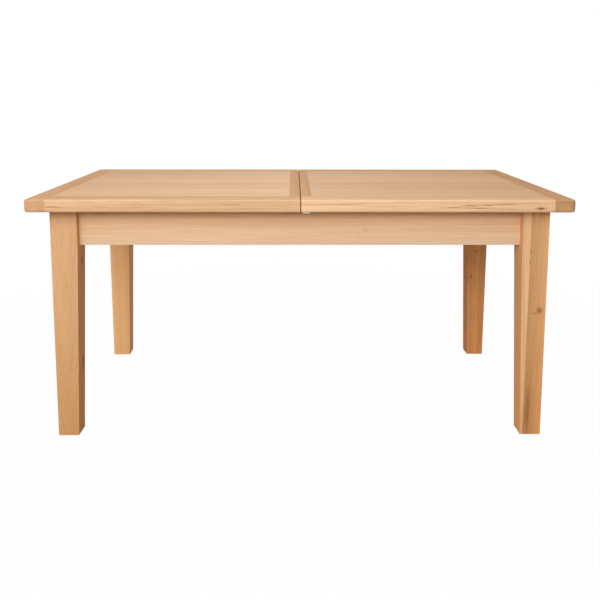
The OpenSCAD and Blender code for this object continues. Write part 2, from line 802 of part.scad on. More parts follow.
// The folding leaf
// Both wings are drawn as the back wing of the open table and then moved into the store
module store_wing_b() { translate([0, stored_edge_y, wing_b_lift]) children(); }
module store_wing_a() {
  translate([0, stored_edge_y, 2 * pivot_z]) rotate([180, 0, 0]) mirror([0, 1, 0]) children();
}
module store_wings() {
  store_wing_a() children();
  store_wing_b() children();
}
module leaf_stave(y0, y1, side_tongue) {
  difference() {
    union() {
      block([-leaf_half_l, y0, panel_under], [leaf_half_l, y1, table_h]);
      block([-leaf_half_l, y0, tongue_z], [leaf_half_l, y1 + side_tongue * tongue_l, tongue_z + tongue_t]);
    }
    leaf_batten_screws();
    for (y = pin_ys) translate([-leaf_half_l - seam_gap, y, panel_mid]) pin_hole();
    leaf_pins();
    leaf_barrels();
  }
}
module leaf_panel() {
  leaf_stave(0, stave_w, 0);
  leaf_stave(stave_w, panel_y, 1);
}
module leaf_pins() {
  for (y = pin_ys)
    translate([leaf_half_l - pin_depth, y, panel_mid]) rod_x(pin_r, pin_depth + leaf_pin_reach);
}
module leaf_barrels() {
  for (x = hinge_xs) translate([x, 0, table_h - barrel_drop]) rod_y(barrel_r, barrel_l);
}
module leaf_edge_board() {
  difference() {
    along_x(-leaf_half_l, leaf_half_l) edge_outline();
    block([-leaf_half_l - cut, panel_y - cut, tongue_z],
      [leaf_half_l + cut, panel_y + tongue_l + groove_spare, tongue_z + tongue_t]);
  }
}
module leaf_batten_screws() {
  for (x = [-leaf_batten_x, leaf_batten_x], i = [0, 1])
    translate([x, middle_of(leaf_stave_ys, i), top_under]) rotate([180, 0, 0]) wood_screw(batten_screw_l);
}
module leaf_battens() {
  for (x = [-leaf_batten_x, leaf_batten_x]) difference() {
    block([x - batten_w / 2, leaf_batten_in, top_under], [x + batten_w / 2, panel_y, panel_under]);
    leaf_batten_screws();
  }
}
module hinge_links() {
  for (x = hinge_xs)
    block([x - link_w / 2, stored_edge_y - link_t, link_z0], [x + link_w / 2, stored_edge_y, link_z1]);
}

// Pivots of the stored leaf, drawn for the right end
module pivot_outline(z0) {
  translate([pivot_y, pivot_z]) circle(ear_r);
  translate([pivot_y - ear_r, z0]) square([2 * ear_r, pivot_z - z0]);
  translate([pivot_y - pivot_base_w / 2, z0]) square([pivot_base_w, pivot_z - pivot_base_drop - z0]);
}
module pivot_bore() { translate([0, pivot_y, pivot_z]) rod_x(pivot_pin_r + rivet_gap, half_l); }
module pivot_arm() {
  difference() {
    union() {
      along_x(arm_x, arm_x + pivot_plate_t) pivot_outline(wing_back_z);
      block([arm_x - arm_foot_l, pivot_y - pivot_base_w / 2, wing_back_z],
        [arm_x + cut, pivot_y + pivot_base_w / 2, wing_back_z + plate_t]);
    }
    pivot_bore();
    arm_screws();
  }
}
module arm_screws() {
  for (x = arm_screw_xs) translate([arm_x - x, pivot_y, wing_back_z + plate_t]) plate_screw();
}
module pivot_bracket() {
  difference() {
    along_x(cross_rail_in_x - pivot_plate_t, cross_rail_in_x) pivot_outline(bracket_z0);
    pivot_bore();
    bracket_screws();
  }
}
module bracket_screws() {
  for (z = bracket_screw_zs)
    translate([cross_rail_in_x - pivot_plate_t, pivot_y, z]) rotate([0, -90, 0])
      disc_screw(plate_screw_l + pivot_plate_t, bracket_head_t);
}
module pivot_pin() {
  translate([cross_rail_in_x + pin_head_t, pivot_y, pivot_z]) rotate([0, -90, 0])
    headed_post(pivot_pin_r, pin_head_r, pin_head_t, cross_rail_in_x + pin_head_t - arm_x + pin_end);
}

// Groups that make up whole nodes
module apron_glide(x) {
  block([x - apron_glide_l / 2, apron_mid_y - apron_glide_w / 2, rail_top],
    [x + apron_glide_l / 2, apron_mid_y + apron_glide_w / 2, top_under - glide_gap]);
}
module seam_glide() {
  block([seam_glide_x, half_w - seam_glide_inset - seam_glide_w, top_under - seam_glide_t],
    [seam_glide_x + seam_glide_l, half_w - seam_glide_inset, top_under]);
}
module half_screws() {
  batten_screws();
  for (face = [-1, 1]) at_face(face) {
    runner_screws();
    member_screws();
  }
}

color(oak) at_end(-1) at_face(-1) leg();  // front_left_leg
color(oak) at_end(1) at_face(-1) leg();  // front_right_leg
color(oak) at_end(-1) at_face(1) leg();  // back_left_leg
color(oak) at_end(1) at_face(1) leg();  // back_right_leg
color(oak) at_face(-1) long_apron();  // front_apron
color(oak) at_face(1) long_apron();  // back_apron
color(oak) at_end(-1) end_apron();  // left_end_apron
color(oak) at_end(1) end_apron();  // right_end_apron
color(oak_light) at_corners() {  // frame_dowels
  corner_dowels(dowel_depth);
  cross_dowel(0);
}
color(oak_inner) at_corners() corner_block();  // corner_blocks
color(zinc) at_corners() block_screws();  // corner_block_screws
color(zinc) at_corners() leg_bolt(0);  // leg_bolts
color(zinc) at_corners() leg_nut();  // leg_nuts
color(steel) at_corners() foot_glide();  // foot_glides
color(oak_inner) at_end(-1) cross_rail();  // left_cross_rail
color(oak_inner) at_end(1) cross_rail();  // right_cross_rail
color(oak_inner) for (side = [-1, 1]) at_end(side) ledge();  // leaf_ledges
color(zinc) at_corners() channel();  // slide_channels
color(steel) at_corners() channel_screws();
color(nylon) for (x = batten_xs) at_corners() apron_glide(x);  // apron_glides
color(oak) difference() {  // leaf_a_panel
  store_wing_a() leaf_panel();
  for (side = [-1, 1]) at_end(side) arm_screws();
}
color(oak) store_wing_a() leaf_edge_board();  // leaf_a_edge_board
color(oak) store_wing_b() leaf_panel();  // leaf_b_panel
color(oak) store_wing_b() leaf_edge_board();  // leaf_b_edge_board
color(oak_inner) store_wings() leaf_battens();
color(zinc) {  // leaf_hinges
  store_wings() leaf_barrels();
  hinge_links();
}
color(nylon) store_wings() leaf_pins();
color(zinc) for (side = [-1, 1]) at_end(side) pivot_arm();  // leaf_pivot_arms
color(steel) for (side = [-1, 1]) at_end(side) pivot_pin();  // leaf_pivot_pins
color(zinc)  // leaf_pivot_brackets
  for (side = [-1, 1]) at_end(side) pivot_bracket();
color(steel) {  // leaf_screws
  store_wings() leaf_batten_screws();
  for (side = [-1, 1]) at_end(side) {
    ledge_screws();
    bracket_screws();
    arm_screws();
  }
}
color(oak) at_end(-1) panel();  // left_panel
color(oak) at_end(-1) end_board();  // left_end_board
color(oak) at_end(-1) at_face(-1) edge_board();  // left_front_board
color(oak) at_end(-1) at_face(1) edge_board();  // left_back_board
color(oak) difference() {  // left_seam_board
  at_end(-1) seam_board();
  seam_pins();
  for (face = [-1, 1]) at_face(face) {
    latch_rivet();
    latch_plate_screws();
  }
}
color(oak_inner) at_end(-1) for (x = batten_xs) batten(x);  // left_battens
color(oak_inner)  // left_runners
  for (face = [-1, 1]) at_end(-1) at_face(face) runner();
color(steel)  // left_slide_members
  for (face = [-1, 1]) at_end(-1) at_face(face) slide_member();
color(steel) {  // left_screws
  at_end(-1) half_screws();
  for (face = [-1, 1]) at_face(face) latch_plate_screws();
}
color(nylon) seam_pins();
color(zinc) for (face = [-1, 1]) at_face(face) latch_plate();  // latch_plates
color(steel) for (face = [-1, 1]) at_face(face) latch_rivet();  // latch_rivets
color(oak) panel();  // right_panel
color(oak) end_board();  // right_end_board
color(oak) at_face(-1) edge_board();  // right_front_board
color(oak) at_face(1) edge_board();  // right_back_board
color(oak) difference() {  // right_seam_board
  seam_board();
  pin_places() translate([seam_x - seam_gap, 0, 0]) pin_hole();
  for (face = [-1, 1]) at_face(face) keeper_screws();
}
color(oak_inner) for (x = batten_xs) batten(x);  // right_battens
color(oak_inner) for (face = [-1, 1]) at_face(face) runner();  // right_runners
color(steel)  // right_slide_members
  for (face = [-1, 1]) at_face(face) slide_member();
color(steel) {  // right_screws
  half_screws();
  for (face = [-1, 1]) at_face(face) keeper_screws();
}
color(zinc) for (face = [-1, 1]) at_face(face) keeper();  // latch_keepers
color(nylon) for (face = [-1, 1]) at_face(face) seam_glide();  // seam_glides
color(steel)  // left_ball_cages
  for (face = [-1, 1]) at_end(-1) at_face(face) ball_cage();
color(steel)  // left_balls
  for (face = [-1, 1]) at_end(-1) at_face(face) balls();
color(steel) for (face = [-1, 1]) at_face(face) ball_cage();  // right_ball_cages
color(steel) for (face = [-1, 1]) at_face(face) balls();  // right_balls
color(steel) at_face(-1) latch_lever();  // front_latch_lever
color(steel) at_face(1) latch_lever();  // back_latch_lever
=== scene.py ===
"""Extending dining table in natural oak.

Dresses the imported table: each board is cut from its own run of grain, the hardware gets its finish and its
small details, and a plain white studio with the camera is set up round it.
"""
import json
import math
import operator
import random
from typing import NamedTuple

import bmesh
import bpy
from bpy.props import FloatProperty, FloatVectorProperty, IntProperty, PointerProperty
from bpy.types import Operator, Panel, PropertyGroup
from mathutils import Matrix, Vector


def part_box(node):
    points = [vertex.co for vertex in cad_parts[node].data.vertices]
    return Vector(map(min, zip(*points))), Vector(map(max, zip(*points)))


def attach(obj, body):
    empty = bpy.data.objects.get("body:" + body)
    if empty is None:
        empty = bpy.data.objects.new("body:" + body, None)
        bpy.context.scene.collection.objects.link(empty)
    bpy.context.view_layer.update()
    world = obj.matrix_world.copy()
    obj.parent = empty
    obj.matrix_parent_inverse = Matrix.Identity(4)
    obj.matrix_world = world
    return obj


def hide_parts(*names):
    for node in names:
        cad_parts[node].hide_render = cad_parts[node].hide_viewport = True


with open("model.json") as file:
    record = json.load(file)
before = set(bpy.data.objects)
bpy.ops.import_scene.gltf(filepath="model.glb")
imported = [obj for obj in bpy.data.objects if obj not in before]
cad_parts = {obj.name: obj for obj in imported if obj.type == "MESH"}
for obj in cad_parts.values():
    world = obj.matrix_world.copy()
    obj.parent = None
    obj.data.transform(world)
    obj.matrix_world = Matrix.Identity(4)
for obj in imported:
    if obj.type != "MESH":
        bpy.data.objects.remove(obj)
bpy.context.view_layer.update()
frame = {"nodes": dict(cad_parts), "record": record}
NODES = frame["nodes"]
BODY_OF = {node: body for body, nodes in frame["record"]["behaviour"]["bodies"].items() for node in nodes}
SLOT_OF = {name: node.data.materials[0].name for name, node in NODES.items()}

bl_info = {
    "name": "Extending dining table",
    "version": (1, 0, 0),
    "blender": (4, 5, 0),
    "location": "View3D > Sidebar > Table",
    "description": "Oak finish, hardware details and studio of an extending dining table",
    "category": "Object",
}

MILLIMETRE = 0.001
X_AXIS = Vector((1, 0, 0))
Y_AXIS = Vector((0, 1, 0))
Z_AXIS = Vector((0, 0, 1))
WHITE = (1, 1, 1, 1)
FINISHED = {"FINISHED"}

# How meshes are merged, cut, eased and shaded
MERGE_DISTANCE = 1e-6
FLAT_ANGLE = math.radians(0.3)
SHARP_ANGLE = math.radians(30)
SHORT_EDGE = 0.006
CORNER_STEPS = 6

# The seam between the halves: the boards beside it, half its gap, how near the middle and how steep its
# faces are, how exactly and from which Y its edges are found, and the strip of wood that fills it
SEAM_SIDES = ("seam_board", "front_board", "back_board")
SEAM_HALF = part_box("right_seam_board")[0].x
SEAM_REACH = 0.0021
SEAM_TILT = 0.3
SEAM_FUZZ = 0.00001
SEAM_OUTER_Y = 0.4
SEAM_STRIP_WIDTH = 0.0016
SEAM_STRIP_LENGTH = 0.872
SEAM_STRIP_RISE = 0.004
SEAM_STRIP_DEPTH = 0.0055


def srgb(red, green, blue):
    """A linear colour from the 0 to 255 values of a paint chart"""
    def linear(value):
        share = value / 255
        return share / 12.92 if share <= 0.04045 else ((share + 0.055) / 1.055) ** 2.4
    return linear(red), linear(green), linear(blue)


# Sizes and colours that a user would change

class OakFinish(PropertyGroup):
    """Colours and grain of the oak"""
    pale: FloatVectorProperty(
        name="Pale wood", description="Colour between the growth rings", subtype="COLOR",
        size=3, default=srgb(233, 195, 158), min=0, max=1)
    deep: FloatVectorProperty(
        name="Deep wood", description="Colour of the growth rings", subtype="COLOR",
        size=3, default=srgb(205, 158, 115), min=0, max=1)
    pore: FloatVectorProperty(
        name="Pores", description="Colour in the open pores", subtype="COLOR",
        size=3, default=srgb(150, 105, 68), min=0, max=1)
    knot: FloatVectorProperty(
        name="Knots", description="Colour of knots and cracks", subtype="COLOR",
        size=3, default=srgb(104, 62, 36), min=0, max=1)
    ring_spacing: FloatProperty(
        name="Ring spacing", description="Mean distance between growth rings", subtype="DISTANCE",
        unit="LENGTH", default=0.0034, min=0.001, max=0.01)
    end_grain: FloatProperty(
        name="End grain", description="Brightness of the end grain", subtype="FACTOR", default=0.93,
        min=0, max=1)
    roughness: FloatProperty(
        name="Roughness", description="Roughness of the satin lacquer", subtype="FACTOR", default=0.58,
        min=0, max=1)
    gloss: FloatProperty(
        name="Gloss", description="Strength of the lacquer's reflection", subtype="FACTOR", default=0.02,
        min=0, max=1)
    relief: FloatProperty(
        name="Relief", description="Depth of the open pores", subtype="DISTANCE", unit="LENGTH",
        default=0.00012, min=0, max=0.001)


class MetalFinish(PropertyGroup):
    """Colours of the metal and plastic parts"""
    zinc: FloatVectorProperty(
        name="Zinc", description="Colour of the zinc plating", subtype="COLOR", size=3,
        default=srgb(196, 199, 200), min=0, max=1)
    screw: FloatVectorProperty(
        name="Screws", description="Colour of the yellow-plated screws", subtype="COLOR", size=3,
        default=srgb(198, 178, 126), min=0, max=1)
    ball: FloatVectorProperty(
        name="Balls", description="Colour of the polished balls and cages", subtype="COLOR", size=3,
        default=srgb(178, 182, 188), min=0, max=1)
    nylon: FloatVectorProperty(
        name="Nylon", description="Colour of the glides and pins", subtype="COLOR", size=3,
        default=srgb(230, 202, 162), min=0, max=1)


class EdgeSizes(PropertyGroup):
    """How far each kind of edge is eased"""
    leg: FloatProperty(
        name="Legs", description="Width of the eased edges of the legs", unit="LENGTH",
        default=0.0018, min=0, max=0.004)
    rail: FloatProperty(
        name="Rails", description="Width of the eased edges of rails and blocks", unit="LENGTH",
        default=0.0012, min=0, max=0.003)
    board: FloatProperty(
        name="Top boards", description="Width of the eased joints between the top boards", unit="LENGTH",
        default=0.00025, min=0, max=0.001)
    metal: FloatProperty(
        name="Metal", description="Width of the eased edges of metal and plastic", unit="LENGTH",
        default=0.00025, min=0, max=0.001)
    seam: FloatProperty(
        name="Seam", description="Width of the eased edges along the seam", unit="LENGTH",
        default=0.0009, min=0, max=0.002)
    board_round: FloatProperty(
        name="Top's edges", description="Radius of the edges of the top", unit="LENGTH", default=0.0075,
        min=0.001, max=0.015)
    corner: FloatProperty(
        name="Top's corners", description="Radius of the corners of the top, seen from above", unit="LENGTH",
        default=0.015, min=0.005, max=0.04)


class ScrewSizes(PropertyGroup):
    """Details that the screws get"""
    recess_width: FloatProperty(
        name="Recess width", description="Width of each arm of the cross in a screw head", unit="LENGTH",
        default=0.0009, min=0.0003, max=0.002)
    recess_share: FloatProperty(
        name="Recess length", description="Length of the cross as a share of the head", subtype="FACTOR",
        default=0.56, min=0.2, max=0.8)
    recess_depth: FloatProperty(
        name="Recess depth", description="Depth of the cross as a share of the head", subtype="FACTOR",
        default=0.7, min=0.2, max=0.95)
    tip: FloatProperty(
        name="Tip", description="Length of the pointed tip", unit="LENGTH", default=0.004,
        min=0.001, max=0.008)
    seed: IntProperty(name="Seed", description="Seed for the turn of each screw", default=7, min=0, max=99)


class StudioLight(PropertyGroup):
    """Light of the studio"""
    ambient: FloatProperty(
        name="Ambient", description="Brightness of the white room", default=0.27, min=0, max=2)
    key: FloatProperty(
        name="Key", description="Power of the large lamp above the front, in watts", default=118,
        min=0, max=1000)
    front: FloatProperty(
        name="Front", description="Power of the lamp before the table, in watts", default=45,
        min=0, max=1000)
    side: FloatProperty(
        name="Side", description="Power of the lamp on the left, in watts", default=20, min=0, max=1000)
    top: FloatProperty(
        name="Top", description="Power of the lamp over the table, in watts", default=38, min=0, max=1000)
    floor_size: FloatProperty(
        name="Floor", description="Size of the floor", unit="LENGTH", default=24.0, min=4, max=50)
    floor_glow: FloatProperty(
        name="Floor glow", description="Share of plain white in what the camera sees of the near floor",
        subtype="FACTOR", default=0.985, min=0, max=1)
    shadow_reach: FloatProperty(
        name="Shadow reach", description="Distance at which the floor is plain white", unit="LENGTH",
        default=2.6, min=1, max=10)


class CameraPlace(PropertyGroup):
    """Where the camera stands and how it looks"""
    place: FloatVectorProperty(
        name="Place", description="Place of the camera", subtype="TRANSLATION", unit="LENGTH",
        size=3, default=(-0.0224, -2.6546, 1.1092))
    pitch: FloatProperty(
        name="Pitch", description="How far the camera looks down", subtype="ANGLE",
        default=math.radians(7.612))
    yaw: FloatProperty(
        name="Yaw", description="How far the camera looks to the right", subtype="ANGLE",
        default=math.radians(0.524))
    roll: FloatProperty(
        name="Roll", description="Tilt of the camera", subtype="ANGLE", default=math.radians(0.104))
    focal_pixels: FloatProperty(
        name="Focal length", description="Focal length in pixels of the picture", default=727.4, min=100)
    centre_row: FloatProperty(
        name="Centre row", description="Row of the picture that the lens axis meets", default=190.3)
    picture: FloatProperty(
        name="Picture", description="Width and height of the picture in pixels", default=600)
    sensor: FloatProperty(name="Sensor", description="Width of the sensor in millimetres", default=36)


class TableSettings(PropertyGroup):
    """Everything that can be set on the table"""
    oak: PointerProperty(type=OakFinish, name="Oak", description="Colours and grain of the oak")
    metal: PointerProperty(type=MetalFinish, name="Metal", description="Colours of metal and plastic")
    edges: PointerProperty(type=EdgeSizes, name="Edges", description="Eased edges")
    screws: PointerProperty(type=ScrewSizes, name="Screws", description="Details of the screws")
    light: PointerProperty(type=StudioLight, name="Light", description="Light of the studio")
    camera: PointerProperty(type=CameraPlace, name="Camera", description="The photograph's view")


def settings():
    return bpy.context.scene.dining_table


# Node trees

class NodeTree:
    """Adds nodes to a tree, each with values or other nodes' outputs for its inputs"""

    def __init__(self, tree):
        self.tree = tree

    def add(self, kind, inputs=None, **choices):
        node = self.tree.nodes.new(kind)
        for name, value in choices.items():
            setattr(node, name, value)
        for socket, value in (inputs or {}).items():
            self.put(node.inputs[socket], value)
        return node

    def put(self, socket, value):
        if isinstance(value, bpy.types.NodeSocket):
            self.tree.links.new(value, socket)
        else:
            socket.default_value = value

    def maths(self, operation, first, second=0.0, third=0.0):
        inputs = {0: first, 1: second, 2: third}
        return self.add("ShaderNodeMath", inputs, operation=operation).outputs[0]

    def vector(self, operation, first, second=(0, 0, 0)):
        return self.add("ShaderNodeVectorMath", {0: first, 1: second}, operation=operation).outputs[0]

    def length(self, vector):
        return self.add("ShaderNodeVectorMath", {0: vector}, operation="LENGTH").outputs["Value"]

    def noise(self, place, waves, detail, roughness):
        """Noise with so many waves per metre along each axis"""
        inputs = {"Vector": self.vector("MULTIPLY", place, waves), "Scale": 1.0, "Detail": detail,
                  "Roughness": roughness}
        return self.add("ShaderNodeTexNoise", inputs).outputs["Fac"]

    def fade(self, value, start, end, low=0.0, high=1.0):
        """Runs from low to high, smoothly, as value goes from start to end"""
        inputs = {"Value": value, "From Min": start, "From Max": end, "To Min": low, "To Max": high}
        return self.add("ShaderNodeMapRange", inputs, interpolation_type="SMOOTHSTEP").outputs[0]

    def mix(self, share, first, second, blend="MIX"):
        inputs = {0: share, 6: first, 7: second}
        return self.add("ShaderNodeMix", inputs, data_type="RGBA", blend_type=blend).outputs[2]

    def attribute(self, name, output="Fac"):
        return self.add("ShaderNodeAttribute", attribute_name=name).outputs[output]

    def on_object(self):
        """The place on the object, which sits at the table's origin"""
        return self.add("ShaderNodeTexCoord").outputs["Object"]

    def relief(self, shader, height, depth, strength):
        """Bumps a shader's surface where height is more than 0"""
        bump = self.add("ShaderNodeBump", {"Strength": strength, "Distance": depth, "Height": height})
        self.put(shader.inputs["Normal"], bump.outputs[0])

    def sees_white(self):
        """1 for the rays of the camera, of reflections and of glass, which see the plain white background"""
        ray = self.add("ShaderNodeLightPath").outputs
        seen = self.maths("MAXIMUM", ray["Is Camera Ray"], ray["Is Glossy Ray"])
        return self.maths("MAXIMUM", seen, ray["Is Transmission Ray"])


def opaque(colour):
    return (*colour, 1.0)


def surface(name, **constants):
    """A new material with its nodes, its shader's own sockets set to constants"""
    material = bpy.data.materials.new(name)
    material.use_nodes = True
    nodes = NodeTree(material.node_tree)
    shader = material.node_tree.nodes["Principled BSDF"]
    for socket, value in constants.items():
        shader.inputs[socket.replace("_", " ").title().replace("Ior", "IOR")].default_value = value
    return material, nodes, shader


# Oak

class Mark(NamedTuple):
    """A knot, crack or streak, or a band of painted shade: its middle and half its size, its darkness, and
    how far it bends the rings
    """
    middle: tuple
    size: tuple
    darkness: float
    bend: float = 0.0


# Y of the front faces that the marks lie on
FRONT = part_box("left_front_board")[0].y
APRON_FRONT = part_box("front_apron")[0].y
LEG_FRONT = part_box("front_left_leg")[0].y
BACK_LEG_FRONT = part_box("back_right_leg")[0].y
MARKS = {
    "left_front_board": (
        Mark((-0.763, FRONT, 0.7625), (0.024, 0.020, 0.0011), 0.75),
        Mark((-0.300, FRONT, 0.7560), (0.160, 0.020, 0.0016), 0.22),
        Mark((-0.120, FRONT, 0.7590), (0.080, 0.020, 0.0016), 0.24),
        Mark((-0.210, FRONT, 0.7690), (0.070, 0.020, 0.0012), 0.22),
        Mark((-0.560, FRONT, 0.7700), (0.120, 0.020, 0.0014), 0.18),
    ),
    "right_front_board": (
        Mark((0.740, FRONT, 0.7580), (0.011, 0.020, 0.0030), 0.85, 0.004),
        Mark((0.520, FRONT, 0.7665), (0.022, 0.020, 0.0011), 0.62),
        Mark((0.575, FRONT, 0.7680), (0.018, 0.020, 0.0010), 0.58),
        Mark((0.625, FRONT, 0.7705), (0.028, 0.020, 0.0010), 0.55),
        Mark((0.470, FRONT, 0.7610), (0.026, 0.020, 0.0011), 0.50),
        Mark((0.550, FRONT, 0.7590), (0.034, 0.020, 0.0011), 0.52),
        Mark((0.640, FRONT, 0.7560), (0.040, 0.020, 0.0010), 0.40),
        Mark((0.110, FRONT, 0.7700), (0.070, 0.020, 0.0010), 0.30),
        Mark((0.240, FRONT, 0.7650), (0.060, 0.020, 0.0010), 0.26),
    ),
    "right_end_board": (
        Mark((0.815, FRONT, 0.7780), (0.022, 0.030, 0.0040), 0.16),
        Mark((0.838, FRONT, 0.7700), (0.006, 0.030, 0.0060), 0.16),
    ),
    "front_apron": (
        # A dark band along the apron's upper edge: painted shade under the overhang of the top
        Mark((0.000, APRON_FRONT, 0.7400), (2.400, 0.020, 0.0095), 0.48),
        Mark((0.208, APRON_FRONT, 0.6770), (0.007, 0.020, 0.0050), 0.13, 0.003),
    ),
    "front_left_leg": (
        # A dark band round the top of the leg: painted shade under the overhang of the top
        Mark((-0.745, -0.360, 0.7450), (0.400, 0.400, 0.0300), 0.24),
        Mark((-0.741, LEG_FRONT, 0.5000), (0.011, 0.020, 0.0170), 0.0, 0.012),
        Mark((-0.752, LEG_FRONT, 0.2000), (0.010, 0.020, 0.0300), 0.0, 0.012),
        Mark((-0.704, -0.355, 0.575), (0.020, 0.005, 0.009), 0.62, 0.006),
        Mark((-0.712, -0.352, 0.235), (0.020, 0.005, 0.020), 0.60, 0.004),
    ),
    "front_right_leg": (
        # A dark band round the top of the leg: painted shade under the overhang of the top
        Mark((0.745, -0.360, 0.745), (0.400, 0.400, 0.026), 0.20),
        Mark((0.765, LEG_FRONT, 0.420), (0.0060, 0.020, 0.008), 0.52, 0.012),
        Mark((0.752, LEG_FRONT, 0.410), (0.0060, 0.020, 0.003), 0.30, 0.004),
        Mark((0.731, LEG_FRONT, 0.612), (0.0022, 0.012, 0.0040), 0.36, 0.004),
        Mark((0.729, LEG_FRONT, 0.579), (0.0022, 0.012, 0.0040), 0.32, 0.004),
        Mark((0.741, LEG_FRONT, 0.075), (0.008, 0.020, 0.085), 0.34),
    ),
    "back_right_leg": (
        Mark((0.745, BACK_LEG_FRONT, 0.455), (0.003, 0.012, 0.005), 0.60, 0.004),
        Mark((0.741, BACK_LEG_FRONT, 0.405), (0.003, 0.012, 0.005), 0.45, 0.004),
        Mark((0.726, BACK_LEG_FRONT, 0.344), (0.004, 0.012, 0.006), 0.50, 0.004),
        Mark((0.752, BACK_LEG_FRONT, 0.560), (0.003, 0.012, 0.012), 0.40),
        Mark((0.735, BACK_LEG_FRONT, 0.180), (0.003, 0.012, 0.030), 0.35),
    ),
}


class Streak(NamedTuple):
    """Noise drawn out along the grain, from the waves per metre along its three axes.

    Its shade starts at one level of the noise, is full at another and is then as strong as its share.
    """
    waves: tuple
    detail: float
    roughness: float = 0.5
    start: float = 0.0
    full: float = 1.0
    share: float = 1.0

    def noise(self, nodes, place):
        return nodes.noise(place, self.waves, self.detail, self.roughness)

    def shade(self, nodes, noise):
        return nodes.fade(noise, self.start, self.full, high=self.share)


BANDS = Streak((0.8, 11, 11), 2, 0.5, 0.30, 0.70, 0.36)
STREAKS = Streak((1.6, 130, 130), 3, 0.65, 0.40, 0.70, 0.42)
FLECKS = Streak((13, 380, 380), 2, 0.5, 0.50, 0.72, 0.38)
FIBRES = Streak((9, 900, 900), 2, 0.5, 0.45, 0.80, 0.20)
PORES = Streak((170, 2600, 2600), 1, 0.5, 0.60, 0.72)
RAYS = Streak((110, 34, 150), 1, 0.5, 0.64, 0.74)
RING_SHARE = 0.50
PORE_SHARE = 0.75
RAY_SHARE = 0.35

# Waves that move the growth rings, and how far they move them in metres
SLOW_WAVES = Streak((0.9, 7, 7), 2)
SLOW_BEND = 0.034
QUICK_WAVES = Streak((7, 45, 45), 2)
QUICK_BEND = 0.0022

# Growth rings: waves of wide and narrow years, the dark share of a year, its start, how much years differ
YEAR_WAVES = 0.17
YEAR_SWELL = 4.0
LATE_WOOD = 0.62
RING_START = 0.10
RING_VARIETY = 0.8
PORES_IN_RINGS = 0.85

# Marks, in half sizes of the mark: how uneven the outline is, and where its core, rim and bend fade
MARK_WAVER = 1.1
CORE_FADE = (1.25, 0.35)
RIM_FADE = (2.6, 0.8)
RIM_SHARE = 0.6
BEND_FADE = (4.0, 0.0)

# Lacquer: how much rougher fibres and pores are, and how high each stands, in depths of the relief
FIBRE_ROUGHNESS = 0.10
PORE_ROUGHNESS = 0.2
FIBRE_HEIGHT = 0.25
PORE_HEIGHT = -1.0
RING_HEIGHT = -0.2
OAK_BUMP = 0.6


def mark_shades(nodes, marks, quick, radius):
    """How dark the marks and their rims are, and the ring radius that they push out"""
    in_table = nodes.on_object()
    core = 0.0
    rim = 0.0
    for mark in marks:
        offset = nodes.vector("DIVIDE", nodes.vector("SUBTRACT", in_table, mark.middle), mark.size)
        away = nodes.length(offset)
        inner = nodes.maths("SUBTRACT", away, MARK_WAVER / 2)
        uneven = nodes.maths("MULTIPLY_ADD", quick, MARK_WAVER, inner)
        core = nodes.maths("MAXIMUM", core, nodes.fade(uneven, *CORE_FADE, high=mark.darkness))
        rim = nodes.maths("MAXIMUM", rim, nodes.fade(uneven, *RIM_FADE, high=mark.darkness * RIM_SHARE))
        if mark.bend:
            radius = nodes.maths("ADD", radius, nodes.fade(away, *BEND_FADE, high=mark.bend))
    return core, rim, radius


def growth_rings(nodes, radius):
    """How dark the growth ring is at a radius, each with its own strength, wide and narrow years in turn"""
    years = nodes.maths("MULTIPLY", radius, 1 / settings().oak.ring_spacing)
    inputs = {"W": nodes.maths("MULTIPLY", years, YEAR_WAVES), "Scale": 1.0, "Detail": 1.0}
    swell = nodes.add("ShaderNodeTexNoise", inputs, noise_dimensions="1D").outputs["Fac"]
    years = nodes.maths("MULTIPLY_ADD", swell, YEAR_SWELL, years)
    part = nodes.maths("FRACT", years)
    year = nodes.maths("FLOOR", years)
    strength = nodes.add("ShaderNodeTexWhiteNoise", {"W": year}, noise_dimensions="1D").outputs["Value"]
    ring = nodes.maths("MULTIPLY", nodes.fade(part, LATE_WOOD, 0.0), nodes.fade(part, 0.0, RING_START))
    strength = nodes.maths("MULTIPLY_ADD", strength, RING_VARIETY, 1 - RING_VARIETY)
    return nodes.maths("MULTIPLY", ring, strength)


